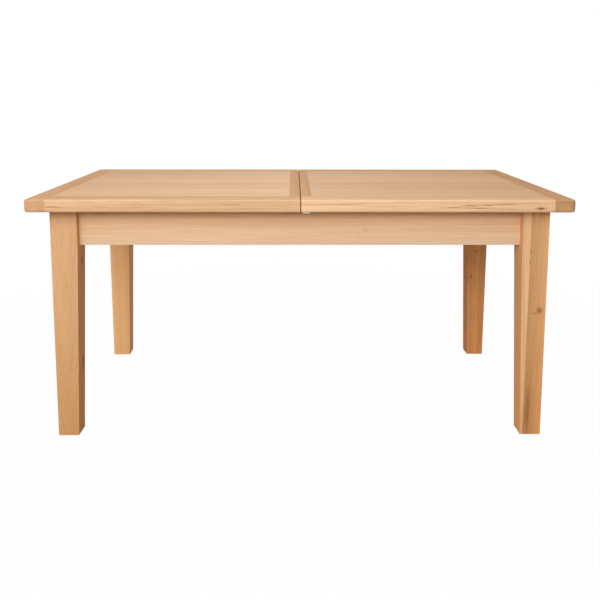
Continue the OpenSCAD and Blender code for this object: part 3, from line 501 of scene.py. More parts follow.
def oak_material(name, marks=()):
    """Oak as a solid: growth rings round the pith, pores along the grain and rays across it.

    The attribute grain_at holds each point's place in its tree, X along the grain and the pith on the X
    axis. A vector attribute multiplies the board's colour by its tone, with painted shade in the seam and
    on the front apron's top and painted warm bounce light on the inner sides of the legs. The attribute
    end_grain is 1 on faces across the grain, and figure is how strong the board's streaks are.
    """
    oak = settings().oak
    material, nodes, shader = surface(name, specular_ior_level=oak.gloss)
    place = nodes.attribute("grain_at", "Vector")
    apart = nodes.add("ShaderNodeSeparateXYZ", {0: place}).outputs

    # Distance from the pith, which waves and marks push out
    quick = QUICK_WAVES.noise(nodes, place)
    radius = nodes.length(nodes.add("ShaderNodeCombineXYZ", {1: apart[1], 2: apart[2]}).outputs[0])
    radius = nodes.maths("MULTIPLY_ADD", SLOW_WAVES.noise(nodes, place), SLOW_BEND, radius)
    radius = nodes.maths("MULTIPLY_ADD", quick, QUICK_BEND, radius)
    core, rim, radius = mark_shades(nodes, marks, quick, radius)

    # Rings, the pores that follow them, fibres and rays
    ring = growth_rings(nodes, radius)
    pore = PORES.shade(nodes, PORES.noise(nodes, place))
    pore_share = nodes.maths("MULTIPLY_ADD", ring, PORES_IN_RINGS, 1 - PORES_IN_RINGS)
    pore = nodes.maths("MULTIPLY", pore, pore_share)
    fibre = FIBRES.noise(nodes, place)
    angle = nodes.maths("ARCTAN2", apart[2], apart[1])
    polar = nodes.add("ShaderNodeCombineXYZ", {0: apart[0], 1: angle, 2: radius}).outputs[0]
    ray = RAYS.shade(nodes, RAYS.noise(nodes, polar))

    # Colour, from the broad bands to the marks, times the board's tone with its painted shade and bounce
    # light, and the shade of the end grain
    figure = nodes.attribute("figure")
    plain = nodes.maths("MINIMUM", figure, 1.0)
    colour = opaque(oak.pale)
    for streak, strength in ((BANDS, plain), (STREAKS, figure), (FLECKS, figure)):
        share = nodes.maths("MULTIPLY", streak.shade(nodes, streak.noise(nodes, place)), strength)
        colour = nodes.mix(share, colour, opaque(oak.deep))
    ring_share = nodes.maths("MULTIPLY", ring, nodes.maths("MULTIPLY", plain, RING_SHARE))
    colour = nodes.mix(ring_share, colour, opaque(oak.deep))
    colour = nodes.mix(FIBRES.shade(nodes, fibre), colour, opaque(oak.deep))
    colour = nodes.mix(nodes.maths("MULTIPLY", pore, PORE_SHARE), colour, opaque(oak.pore))
    colour = nodes.mix(nodes.maths("MULTIPLY", ray, RAY_SHARE), colour, opaque(oak.pale))
    if marks:
        colour = nodes.mix(rim, colour, opaque(oak.pore))
        colour = nodes.mix(core, colour, opaque(oak.knot))
    colour = nodes.mix(1.0, colour, nodes.attribute("stain", "Vector"), "MULTIPLY")
    end_shade = nodes.maths("MULTIPLY_ADD", nodes.attribute("end_grain"), oak.end_grain - 1, 1.0)
    shaded = nodes.add("ShaderNodeVectorMath", {0: colour, "Scale": end_shade}, operation="SCALE")
    nodes.put(shader.inputs["Base Color"], shaded.outputs[0])

    # Satin lacquer that sinks into the pores
    rough = nodes.maths("MULTIPLY_ADD", fibre, FIBRE_ROUGHNESS, oak.roughness - FIBRE_ROUGHNESS / 2)
    rough = nodes.maths("MULTIPLY_ADD", pore, PORE_ROUGHNESS, rough)
    nodes.put(shader.inputs["Roughness"], rough)
    height = nodes.maths("MULTIPLY_ADD", fibre, FIBRE_HEIGHT, nodes.maths("MULTIPLY", pore, PORE_HEIGHT))
    height = nodes.maths("MULTIPLY_ADD", ring, RING_HEIGHT, height)
    nodes.relief(shader, height, oak.relief, OAK_BUMP)
    return material


# Metal, plastic and dowel wood

class Plating(NamedTuple):
    """A plated or polished steel: its roughness, the lines that rolling left on it, and its mottled cloud"""
    roughness: float
    lines: Streak
    cloud: Streak


ROLLING_LINES = Streak((25, 1500, 1500), 3, 0.5, 0.5, 0.8, 0.3)
CLOUD = Streak((70, 70, 70), 3, 0.6, 0.35, 0.70, 0.6)
PLATINGS = {
    "zinc": Plating(0.34, ROLLING_LINES, CLOUD),
    "screw": Plating(0.30, ROLLING_LINES._replace(waves=(400, 400, 400)), CLOUD._replace(share=0.5)),
    "ball": Plating(0.16, ROLLING_LINES._replace(waves=(40, 1200, 1200)), CLOUD._replace(share=0.2)),
}
LINE_ROUGHNESS = 0.12
LINE_DEPTH = 0.00003
LINE_BUMP = 0.35
CLOUD_ROUGHNESS = 0.22
DULL_SHARE = 0.78

NYLON_CLOUD = Streak((90, 90, 90), 3, 0.5, 0.35, 0.75)
NYLON_GRAIN = Streak((3500, 3500, 3500), 1)
NYLON_SHADE = 0.86
NYLON_ROUGHNESS = 0.38
NYLON_GRAIN_ROUGHNESS = 0.15
NYLON_DEPTH = 0.00004
NYLON_BUMP = 0.3

DOWEL_STREAKS = Streak((300, 300, 900), 3, 0.5, 0.3, 0.7)


def darker(colour, share):
    return tuple(channel * share for channel in colour)


def plated_material(name):
    """Plated or polished steel with the marks of rolling along its length"""
    plating = PLATINGS[name]
    colour = getattr(settings().metal, name)
    dull = opaque(darker(colour, DULL_SHARE))
    material, nodes, shader = surface(name, metallic=1.0)
    place = nodes.on_object()
    lines = plating.lines.noise(nodes, place)
    cloud = plating.cloud.noise(nodes, place)
    tint = nodes.mix(plating.cloud.shade(nodes, cloud), opaque(colour), dull)
    tint = nodes.mix(plating.lines.shade(nodes, lines), tint, dull)
    nodes.put(shader.inputs["Base Color"], tint)
    rough = nodes.maths("MULTIPLY_ADD", cloud, CLOUD_ROUGHNESS, plating.roughness - CLOUD_ROUGHNESS / 2)
    rough = nodes.maths("MULTIPLY_ADD", lines, LINE_ROUGHNESS, rough)
    nodes.put(shader.inputs["Roughness"], rough)
    nodes.relief(shader, lines, LINE_DEPTH, LINE_BUMP)
    return material


def nylon_material(name):
    """Moulded nylon, slightly cloudy, with a fine eroded grain"""
    colour = settings().metal.nylon
    material, nodes, shader = surface(name, subsurface_weight=0.15, subsurface_scale=0.002)
    place = nodes.on_object()
    cloud = NYLON_CLOUD.shade(nodes, NYLON_CLOUD.noise(nodes, place))
    grain = NYLON_GRAIN.noise(nodes, place)
    tint = nodes.mix(cloud, opaque(colour), opaque(darker(colour, NYLON_SHADE)))
    nodes.put(shader.inputs["Base Color"], tint)
    rough = nodes.maths("MULTIPLY_ADD", grain, NYLON_GRAIN_ROUGHNESS, NYLON_ROUGHNESS)
    nodes.put(shader.inputs["Roughness"], rough)
    nodes.relief(shader, grain, NYLON_DEPTH, NYLON_BUMP)
    return material


def dowel_material(name):
    """Beech dowels, grain along the table, read from the table's own coordinates"""
    oak = settings().oak
    material, nodes, shader = surface(name, roughness=0.6)
    streaks = DOWEL_STREAKS.shade(nodes, DOWEL_STREAKS.noise(nodes, nodes.on_object()))
    nodes.put(shader.inputs["Base Color"], nodes.mix(streaks, opaque(oak.pale), opaque(oak.deep)))
    return material


# Material and maker of each slot that isn't oak
SLOT_FINISHES = {
    "zinc_steel": ("zinc", plated_material),
    "screw_steel": ("screw", plated_material),
    "ball_steel": ("ball", plated_material),
    "nylon": ("nylon", nylon_material),
    "inner_wood": ("dowel_wood", dowel_material),
}


def slot_material(slot):
    """The shared material of a slot, made when it is first needed"""
    name, make = SLOT_FINISHES[slot]
    return bpy.data.materials.get(name) or make(name)


# Meshes

def merged(node):
    """A copy of a CAD node's mesh whose points are merged and whose flat faces are whole again"""
    shape = bmesh.new()
    shape.from_mesh(NODES[node].data)
    bmesh.ops.remove_doubles(shape, verts=shape.verts, dist=MERGE_DISTANCE)
    bmesh.ops.dissolve_limit(shape, angle_limit=FLAT_ANGLE, verts=shape.verts, edges=shape.edges)
    return shape


def is_sharp(edge):
    return edge.is_manifold and edge.is_convex and edge.calc_face_angle(0) > SHARP_ANGLE


def bevel(shape, edges, width):
    """Rounds some edges of a shape by width"""
    bmesh.ops.bevel(shape, geom=edges, offset=width, offset_type="OFFSET", segments=2, profile=0.5,
                    affect="EDGES", clamp_overlap=True)


def ease(shape, width):
    """Eases the long sharp edges of a shape by width"""
    if width:
        long_edges = [edge for edge in shape.edges if is_sharp(edge) and edge.calc_length() > SHORT_EDGE]
        bevel(shape, long_edges, width)


def cut_faces(shape, faces, point, normal):
    """Cuts some faces of a shape where a plane crosses them"""
    parts = {part for face in faces for part in (face, *face.verts, *face.edges)}
    bmesh.ops.bisect_plane(shape, geom=list(parts), dist=MERGE_DISTANCE, plane_co=point, plane_no=normal)


def roll_corners(shape):
    """Rolls the rounded edges of an end board round its two free corners"""
    sizes = settings().edges
    low, high = corners([vert.co for vert in shape.verts])
    outward = math.copysign(1, high.x + low.x)
    outer = max(high.x * outward, low.x * outward)
    for side in (-1, 1):
        centre = Vector((outward * (outer - sizes.corner), side * (high.y - sizes.corner), 0))

        def near_corner():
            return [face for face in shape.faces
                    if all((vert.co.x - centre.x) * outward > -MERGE_DISTANCE
                           and (vert.co.y - centre.y) * side > -MERGE_DISTANCE for vert in face.verts)]

        for axis in (X_AXIS, Y_AXIS):
            cut_faces(shape, shape.faces, centre, axis)
        for step in range(1, CORNER_STEPS):
            angle = math.pi / 2 * step / CORNER_STEPS
            across = Vector((-outward * math.sin(angle), side * math.cos(angle), 0))
            cut_faces(shape, near_corner(), centre, across)
        for step in range(1, CORNER_STEPS + 1):
            inset = sizes.board_round * (1 - math.cos(math.pi / 2 * step / CORNER_STEPS))
            for level in (low.z + inset, high.z - inset):
                cut_faces(shape, near_corner(), Vector((0, 0, level)), Z_AXIS)
        for vert in {vert for face in near_corner() for vert in face.verts}:
            edge = min(vert.co.z - low.z, high.z - vert.co.z, sizes.board_round)
            drop = sizes.board_round - edge
            reach = sizes.corner - sizes.board_round + math.sqrt(sizes.board_round ** 2 - drop ** 2)
            away = Vector((vert.co.x - centre.x, vert.co.y - centre.y, 0))
            if away.length > reach:
                away *= reach / away.length
                vert.co.x = centre.x + away.x
                vert.co.y = centre.y + away.y


def piece(name, shape, material, node):
    """A finished piece that stands for a CAD node"""
    mesh = bpy.data.meshes.new(name)
    shape.to_mesh(mesh)
    shape.free()
    finished = bpy.data.objects.new(name, mesh)
    bpy.context.scene.collection.objects.link(finished)
    mesh.materials.append(material)
    mesh.shade_smooth()
    mesh.set_sharp_from_angle(angle=SHARP_ANGLE)
    normals = finished.modifiers.new("Flat faces", "WEIGHTED_NORMAL")
    normals.keep_sharp = True
    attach(finished, BODY_OF[node])
    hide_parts(node)
    return finished


def islands(shape):
    """The separate solids of a shape, each as a list of its vertices"""
    found = []
    seen = set()
    for start in shape.verts:
        if start in seen:
            continue
        seen.add(start)
        solid = [start]
        for vert in solid:
            for edge in vert.link_edges:
                other = edge.other_vert(vert)
                if other not in seen:
                    seen.add(other)
                    solid.append(other)
        found.append(solid)
    return found


def corners(points):
    """The lowest and highest corner of a set of points"""
    low = Vector(min(point[axis] for point in points) for axis in range(3))
    high = Vector(max(point[axis] for point in points) for axis in range(3))
    return low, high


# Boards

# A tone or warmth without a slope
LEVEL = (0.0, 0.0, 0.0)
# Share of a board's warmth that is taken from its green, beside the whole from its blue
GREEN_SHARE = 0.45
# Factors on the wood's colour: painted shade on the faces in the seam between the halves, and painted
# warm bounce light on the inner sides of the legs
SEAM_SHADE = (0.58, 0.46, 0.35)
INNER_SIDE_BOUNCE = (1.07, 0.97, 0.82)
# A leg's face is an inner side where it looks back at the table's middle from at least this distance
INNER_DISTANCE = 0.1
# A face is end grain where the cosine between its normal and the grain is more than this
END_GRAIN_COSINE = 0.7


class Board(NamedTuple):
    """How the boards of one CAD node are cut from the tree.

    Edge names how its edges are eased. Tone multiplies the wood's brightness, and warm is the share of its
    blue that is taken away. Both may differ between lamellas, the strips between the glue lines. Brightening
    and warming are the rise of tone and of warm for each metre along X, Y and Z. Lean multiplies how far the
    pith leans.
    """
    node: str
    grain: Vector
    edge: str
    tone: float = 1.0
    warm: float = 0.0
    seed: int = 0
    cut: str = "flat"
    glue_axis: Vector = Y_AXIS
    glue_lines: tuple = ()
    lamella_tones: tuple = ()
    lamella_warms: tuple = ()
    figure: float = 1.0
    lean: float = 1.0
    warming: tuple = LEVEL
    brightening: tuple = LEVEL
    green_share: float = GREEN_SHARE


def halves(kind, grain, edge, left, right, warming=LEVEL, brightening=LEVEL, **rest):
    """The same board in both halves, each with its own tone and warmth, slopes mirrored in the left half"""
    return [Board(f"{side}_{kind}", grain, edge, *look, warming=(outward * warming[0], *warming[1:]),
                  brightening=(outward * brightening[0], *brightening[1:]), **rest)
            for side, look, outward in (("left", left, -1), ("right", right, 1))]


# Y of the glue lines between the staves of the top's panels
STAVE_LINES = (-0.200, 0.0, 0.200)
TOP_BOARDS = [
    *halves("panel", X_AXIS, "board", (1.065, 0.01), (0.98, 0.04), seed=11, glue_lines=STAVE_LINES,
            lamella_tones=(0.99, 0.945, 1.01, 0.96), figure=0.55, warming=(0.13, 0, 0),
            brightening=(-0.16, 0, 0)),
    *halves("end_board", Y_AXIS, "board", (0.89, 0.19), (0.79, 0.31), seed=31, glue_axis=X_AXIS),
    *halves("front_board", X_AXIS, "board", (0.935, 0.045), (1.06, -0.035), seed=41, cut="rift", figure=1.9,
            warming=(0.08, 0.4, 0), brightening=(-0.10, -1.8, 0)),
    *halves("back_board", X_AXIS, "board", (0.95, 0.14), (0.90, 0.15), seed=51, cut="rift"),
    *halves("seam_board", Y_AXIS, "board", (0.85, 0.22), (0.85, 0.22), seed=61, glue_axis=X_AXIS),
]
LEGS = [
    Board("front_left_leg", Z_AXIS, "leg", 0.865, 0.345, 71, "flat", X_AXIS, (-0.747,), (1.0, 0.97),
          figure=0.65, lean=5.0, warming=(0, 0, -0.34), brightening=(0, 0, 0.20)),
    Board("front_right_leg", Z_AXIS, "leg", 0.90, 0.385, 81, "flat", X_AXIS, (0.728,), (1.11, 0.98),
          (-0.10, 0.03), figure=0.9, lean=3.0, warming=(0, 0, -0.29), brightening=(5.5, 0, 0.06)),
    Board("back_left_leg", Z_AXIS, "leg", 1.25, 0.20, 91, "rift", X_AXIS, (-0.752,), (1.02, 0.98),
          figure=0.4, warming=(3.0, 0, 0), brightening=(-2.5, 0, 0), green_share=0.33),
    Board("back_right_leg", Z_AXIS, "leg", 1.03, 0.45, 101, "flat", X_AXIS, (0.760,), (1.0, 0.96),
          figure=1.5, warming=(-2.0, 0, 0), brightening=(2.5, 0, 0), green_share=0.54),
]
APRONS = [
    # The front apron grows warmer towards its top: painted shade under the overhang of the top
    Board("front_apron", X_AXIS, "rail", 1.005, 0.035, 111, "rift", Z_AXIS, figure=0.7, warming=(0, 0, 3.2)),
    Board("back_apron", X_AXIS, "rail", 0.97, 0.05, 121, "flat", Z_AXIS),
    Board("left_end_apron", Y_AXIS, "rail", 0.98, 0.05, 131, "flat", Z_AXIS),
    Board("right_end_apron", Y_AXIS, "rail", 0.96, 0.07, 141, "rift", Z_AXIS),
]
UNDER_FRAME = [
    Board("corner_blocks", Z_AXIS, "rail", 0.92, 0.05, 151),
    Board("left_cross_rail", Y_AXIS, "rail", 0.94, 0.05, 161, glue_axis=Z_AXIS),
    Board("right_cross_rail", Y_AXIS, "rail", 0.92, 0.06, 163, glue_axis=Z_AXIS),
    Board("leaf_ledges", Y_AXIS, "rail", 0.95, 0.05, 171, "rift", Z_AXIS),
    *halves("battens", Y_AXIS, "rail", (0.94, 0.06), (0.93, 0.06), seed=181),
    *halves("runners", X_AXIS, "rail", (0.95, 0.05), (0.94, 0.05), seed=191, cut="rift"),
]
# Y of the glue line in the leaf's panels
LEAF_STAVES = (-0.025,)
LEAF = [
    Board("leaf_a_panel", X_AXIS, "board", 0.99, 0.03, 201, glue_lines=LEAF_STAVES),
    Board("leaf_a_edge_board", X_AXIS, "board", 1.0, 0.04, 211, "rift"),
    Board("leaf_b_panel", X_AXIS, "board", 0.97, 0.03, 221, glue_lines=LEAF_STAVES),
    Board("leaf_b_edge_board", X_AXIS, "board", 0.98, 0.04, 231, "rift"),
    Board("leaf_battens", Y_AXIS, "rail", 0.94, 0.05, 241),
]
# Place of the pith beside the board in board widths, and below its face in metres
CUTS = {"flat": ((-0.35, 0.35), (0.035, 0.085)), "rift": ((0.9, 1.6), (0.06, 0.12))}
# How far the pith leans beside the board and away from it, in metres for each metre of board
SIDE_LEAN = 0.012
DEPTH_LEAN = (0.010, 0.028)
# How far a strip's place along the tree may be from the middle, in metres
RUN = 40


class Lamella(NamedTuple):
    """One strip of wood: the pith's place and lean, its run along the grain, its tone and its warmth"""
    width_axis: Vector
    depth_axis: Vector
    pith_width: float
    pith_depth: float
    lean_width: float
    lean_depth: float
    run: float
    tone: float
    warm: float
    warming: Vector
    brightening: Vector
    middle: Vector
    green_share: float

    def place_in_tree(self, place, grain):
        """Where a point of the strip lay in its tree, with the pith on the X axis"""
        along = place.dot(grain)
        return (along + self.run,
                place.dot(self.width_axis) - self.pith_width - self.lean_width * along,
                place.dot(self.depth_axis) - self.pith_depth - self.lean_depth * along)

    def stain(self, place, inward):
        """The factor on the wood's colour at a point, redder on the inner sides of the legs with painted
        warm bounce light
        """
        away = place - self.middle
        tone = self.tone * (1 + self.brightening.dot(away))
        warm = self.warm + self.warming.dot(away)
        colour = (tone, tone * (1 - warm * self.green_share), tone * (1 - warm))
        return tuple(map(operator.mul, colour, INNER_SIDE_BOUNCE)) if inward else colour


def cut_lamella(board, number, points, chance):
    """Places a strip in its tree: the depth axis is the thinner of the two across the grain"""
    low, high = corners(points)
    size = high - low
    middle = (low + high) / 2
    across = [axis for axis in (X_AXIS, Y_AXIS, Z_AXIS) if axis != board.grain]
    across.sort(key=lambda axis: abs(axis.dot(size)))
    depth_axis, width_axis = across
    beside, below = CUTS[board.cut]
    width = abs(width_axis.dot(size))
    pith_width = width_axis.dot(middle) + chance.uniform(*beside) * width * chance.choice((-1, 1))
    pith_depth = depth_axis.dot(middle) - chance.uniform(*below)
    tone = board.tone * (board.lamella_tones[number] if board.lamella_tones else 1.0)
    warm = board.warm + (board.lamella_warms[number] if board.lamella_warms else 0.0)
    lean_width = chance.uniform(-SIDE_LEAN, SIDE_LEAN)
    lean_depth = chance.uniform(*DEPTH_LEAN) * chance.choice((-1, 1)) * board.lean
    return Lamella(width_axis, depth_axis, pith_width, pith_depth, lean_width, lean_depth,
                   chance.uniform(-RUN, RUN), tone, warm, Vector(board.warming), Vector(board.brightening),
                   middle, board.green_share)


def in_seam(board, face):
    """Whether a face lies in the seam between the halves"""
    near = board.node.endswith(SEAM_SIDES) and abs(face.center.x) < SEAM_REACH
    return near and (abs(face.normal.x) > SEAM_TILT or abs(face.center.x) < SEAM_HALF)


def looks_inward(board, face):
    """Whether a face is an inner side of a leg"""
    return board.edge == "leg" and any(face.normal[side] * face.center[side] < -INNER_DISTANCE
                                       for side in (0, 1))


def strips_of(mesh, board):
    """The faces of each strip of a mesh, by the number of its solid and of its stave"""
    solid_of = solids_by_vertex(mesh)
    strips = {}
    for face in mesh.polygons:
        stave = sum(board.glue_axis.dot(face.center) > line for line in board.glue_lines)
        solid = 0 if board.glue_lines else solid_of[face.vertices[0]]
        strips.setdefault((solid, stave), []).append(face)
    return strips


def grow(mesh, board):
    """Writes the grain of a board's strips on its mesh"""
    chance = random.Random(board.seed)
    strips = strips_of(mesh, board)
    places = [None] * len(mesh.loops)
    tones_and_shades = [None] * len(mesh.loops)
    ends = [None] * len(mesh.loops)
    for key in sorted(strips):
        points = [mesh.vertices[index].co for face in strips[key] for index in face.vertices]
        lamella = cut_lamella(board, key[1], points, chance)
        for face in strips[key]:
            end = float(abs(face.normal.dot(board.grain)) > END_GRAIN_COSINE)
            seam = in_seam(board, face)
            inward = looks_inward(board, face)
            for corner in face.loop_indices:
                place = mesh.vertices[mesh.loops[corner].vertex_index].co
                places[corner] = lamella.place_in_tree(place, board.grain)
                # Faces in the seam take painted shade, and the inner sides of the legs take painted warm
                # bounce light
                tones_and_shades[corner] = SEAM_SHADE if seam else lamella.stain(place, inward)
                ends[corner] = end
    write_corners(mesh, "grain_at", places)
    write_corners(mesh, "stain", tones_and_shades)
    write_corners(mesh, "end_grain", ends)
    write_corners(mesh, "figure", [board.figure] * len(mesh.loops))


def write_corners(mesh, name, values):
    """Writes a number or a vector for each corner of a mesh's faces"""
    if isinstance(values[0], tuple):
        attribute = mesh.attributes.new(name, "FLOAT_VECTOR", "CORNER")
        attribute.data.foreach_set("vector", [part for value in values for part in value])
    else:
        attribute = mesh.attributes.new(name, "FLOAT", "CORNER")
        attribute.data.foreach_set("value", values)


def solids_by_vertex(mesh):
    """The number of the solid that each vertex belongs to"""
    shape = bmesh.new()
    shape.from_mesh(mesh)
    numbers = {}
    for number, solid in enumerate(islands(shape)):
        for vert in solid:
            numbers[vert.index] = number
    shape.free()
    return numbers


def add_seam_strip(shape):
    """Adds a sunk strip of wood that keeps light out of the seam between the halves and takes its painted
    shade
    """
    low, high = corners([vert.co for vert in shape.verts])
    strip = bmesh.ops.create_cube(shape, size=1.0)["verts"]
    bottom = low.z + SEAM_STRIP_RISE
    top = high.z - SEAM_STRIP_DEPTH
    size = Vector((SEAM_STRIP_WIDTH, SEAM_STRIP_LENGTH, top - bottom))
    middle = Vector((high.x + SEAM_STRIP_WIDTH / 2, 0, (top + bottom) / 2))
    for vert in strip:
        vert.co = Vector(vert.co[axis] * size[axis] + middle[axis] for axis in range(3))


def ease_seam(shape):
    """Eases the upper and outer edges where a board meets the other half of the top"""
    high = corners([vert.co for vert in shape.verts])[1]

    def at_seam(vert):
        upper = abs(vert.co.z - high.z) < SEAM_FUZZ
        return abs(abs(vert.co.x) - SEAM_HALF) < SEAM_FUZZ and (upper or abs(vert.co.y) > SEAM_OUTER_Y)

    sharp = [edge for edge in shape.edges if all(map(at_seam, edge.verts)) and is_sharp(edge)]
    bevel(shape, sharp, settings().edges.seam)


def make_board(board):
    """One dressed piece from a wooden CAD node"""
    shape = merged(board.node)
    if board.node.endswith(SEAM_SIDES):
        ease_seam(shape)
    ease(shape, getattr(settings().edges, board.edge))
    for line in board.glue_lines:
        cut_faces(shape, shape.faces, board.glue_axis * line, board.glue_axis)
    if board.node == "left_seam_board":
        add_seam_strip(shape)
    if board.node.endswith("end_board"):
        roll_corners(shape)
    marks = MARKS.get(board.node, ())
    name = f"finish_oak_{board.node}" if marks else "finish_oak"
    material = bpy.data.materials.get(name) or oak_material(name, marks)
    made = piece(f"{board.node}_oak", shape, material, board.node)
    grow(made.data, board)


def make_boards(boards):
    for board in boards:
        make_board(board)


# Geometry Nodes trees for what repeats

HEAD_SIDES = 24
SHANK_SIDES = 16
BALL_DIVISIONS = 3
# Largest share of a screw that its tip takes, and the share of the metal's eased width that a cage has
TIP_SHARE = 0.25
CAGE_EASE_SHARE = 0.4
# Digits of a metre to which the levels of a screw are told apart, and of a millimetre for its sizes
LEVEL_DIGITS = 5
SIZE_DIGITS = 2


def new_tree(name, *sizes):
    """The builder of a new Geometry Nodes tree with places, named sizes, a seed and a material as inputs"""
    tree = bpy.data.node_groups.new(name, "GeometryNodeTree")
    tree.interface.new_socket("Places", in_out="INPUT", socket_type="NodeSocketGeometry")
    for size in sizes:
        tree.interface.new_socket(size, in_out="INPUT", socket_type="NodeSocketFloat")
    tree.interface.new_socket("Seed", in_out="INPUT", socket_type="NodeSocketInt")
    tree.interface.new_socket("Material", in_out="INPUT", socket_type="NodeSocketMaterial")
    tree.interface.new_socket("Pieces", in_out="OUTPUT", socket_type="NodeSocketGeometry")
    return NodeTree(tree)


def finish_tree(nodes, group, shape):
    """Sets a shape on every place, turned along the attribute along, and realizes it"""
    along = nodes.add("GeometryNodeInputNamedAttribute", {"Name": "along"}, data_type="FLOAT_VECTOR")
    upright = nodes.add("FunctionNodeAlignRotationToVector", {"Vector": along.outputs[0]}, axis="Z")
    turn = {2: 0.0, 3: math.tau, "Seed": group["Seed"]}
    chance = nodes.add("FunctionNodeRandomValue", turn, data_type="FLOAT")
    spin = nodes.add("FunctionNodeAxisAngleToRotation", {"Axis": Z_AXIS, "Angle": chance.outputs[1]})
    turned = nodes.add("FunctionNodeRotateRotation", {0: upright.outputs[0], 1: spin.outputs[0]},
                       rotation_space="LOCAL")
    points = nodes.add("GeometryNodeMeshToPoints", {"Mesh": group["Places"]})
    placed = nodes.add("GeometryNodeInstanceOnPoints", {
        "Points": points.outputs[0], "Instance": shape, "Rotation": turned.outputs[0]})
    real = nodes.add("GeometryNodeRealizeInstances", {"Geometry": placed.outputs[0]})
    painted = nodes.add("GeometryNodeSetMaterial", {
        "Geometry": real.outputs[0], "Material": group["Material"]})
    nodes.add("NodeGroupOutput", {"Pieces": painted.outputs[0]})


def raised(nodes, shape, height):
    """A shape moved up by a height"""
    lift = nodes.add("ShaderNodeCombineXYZ", {2: height}).outputs[0]
    return nodes.add("GeometryNodeTransform", {"Geometry": shape, "Translation": lift}).outputs[0]


def cone(nodes, low_radius, high_radius, depth, sides):
    """A closed cone or rod that stands on the origin"""
    inputs = {"Vertices": sides, "Radius Bottom": low_radius, "Radius Top": high_radius, "Depth": depth}
    return nodes.add("GeometryNodeMeshCone", inputs).outputs[0]


def screw_tree():
    """A screw whose head's face lies at the origin: head, crossed recess, shank and tip run down from it"""
    nodes = new_tree("Screw", "Head radius", "Under radius", "Head depth", "Shank radius", "Length",
                     "Recess width", "Recess length", "Recess depth", "Tip")
    size = nodes.add("NodeGroupInput").outputs
    depth = size["Head depth"]
    head = raised(nodes, cone(nodes, size["Under radius"], size["Head radius"], depth, HEAD_SIDES),
                  nodes.maths("MULTIPLY", depth, -1.0))
    arm_depth = nodes.maths("MULTIPLY", size["Recess depth"], 2.0)
    cut = nodes.add("GeometryNodeMeshBoolean", {"Mesh 1": head}, operation="DIFFERENCE")
    for long_axis in (0, 1):
        inputs = {long_axis: size["Recess length"], 1 - long_axis: size["Recess width"], 2: arm_depth}
        box = nodes.add("ShaderNodeCombineXYZ", inputs).outputs[0]
        arm = nodes.add("GeometryNodeMeshCube", {"Size": box})
        nodes.put(cut.inputs["Mesh 2"], arm.outputs[0])
    shank_length = nodes.maths("SUBTRACT", nodes.maths("SUBTRACT", size["Length"], depth), size["Tip"])
    shank = raised(nodes, cone(nodes, size["Shank radius"], size["Shank radius"], shank_length, SHANK_SIDES),
                   nodes.maths("SUBTRACT", size["Tip"], size["Length"]))
    tip = raised(nodes, cone(nodes, MERGE_DISTANCE, size["Shank radius"], size["Tip"], SHANK_SIDES),
                 nodes.maths("MULTIPLY", size["Length"], -1.0))
    joined = nodes.add("GeometryNodeJoinGeometry")
    for part in (tip, shank, cut.outputs[0]):
        nodes.put(joined.inputs[0], part)
    finish_tree(nodes, size, joined.outputs[0])
    return nodes.tree


def ball_tree():
    """A ball on every place"""
    nodes = new_tree("Ball", "Radius")
    size = nodes.add("NodeGroupInput").outputs
    inputs = {"Radius": size["Radius"], "Subdivisions": BALL_DIVISIONS}
    ball = nodes.add("GeometryNodeMeshIcoSphere", inputs)
    finish_tree(nodes, size, ball.outputs[0])
    return nodes.tree


def add_grown(shape, tree, places, sizes, seed, material):
    """Adds to a shape what a tree makes on places, which are pairs of a point and a direction"""
    mesh = bpy.data.meshes.new("places")
    mesh.from_pydata([point for point, _ in places], [], [])
    along = mesh.attributes.new("along", "FLOAT_VECTOR", "POINT")
    for number, (_, direction) in enumerate(places):
        along.data[number].vector = direction
    carrier = bpy.data.objects.new("places", mesh)
    bpy.context.scene.collection.objects.link(carrier)
    modifier = carrier.modifiers.new("Pieces", "NODES")
    modifier.node_group = tree
    socket = {item.name: item.identifier for item in tree.interface.items_tree if item.in_out == "INPUT"}
    for name, value in sizes.items():
        modifier[socket[name]] = value
    modifier[socket["Seed"]] = seed
    modifier[socket["Material"]] = material
    carrier.update_tag()
    seen = carrier.evaluated_get(bpy.context.evaluated_depsgraph_get())
    result = bpy.data.meshes.new_from_object(seen)
    shape.from_mesh(result)
    bpy.data.objects.remove(carrier)
    bpy.data.meshes.remove(mesh)
    bpy.data.meshes.remove(result)


class Screw(NamedTuple):
    """A screw as the CAD model holds it"""
    head: Vector
    up: Vector
    length: float
    head_depth: float
    head_radius: float
    under_radius: float
    shank_radius: float


def measure_screws(node):
    """Reads each screw's place and sizes from its solid, which is turned about its longest axis"""
    shape = merged(node)
    found = []
    for solid in islands(shape):
        points = [vert.co for vert in solid]
        low, high = corners(points)
        middle = (low + high) / 2
        size = high - low
        axis = max((X_AXIS, Y_AXIS, Z_AXIS), key=lambda direction: direction.dot(size))
        levels = {}
        for point in points:
            level = round((point - low).dot(axis), LEVEL_DIGITS)
            offset = point - middle
            radius = (offset - axis * offset.dot(axis)).length
            levels[level] = max(levels.get(level, 0), radius)
        order = sorted(levels)
        up = axis.copy()
        if levels[order[0]] > levels[order[-1]]:
            up = -axis
            order = order[::-1]
        tip, under, face = order[0], order[-2], order[-1]
        length = abs(face - tip)
        head = middle + up * length / 2
        found.append(Screw(head, up, length, abs(face - under), levels[face], levels[under], levels[tip]))
    shape.free()
    return found


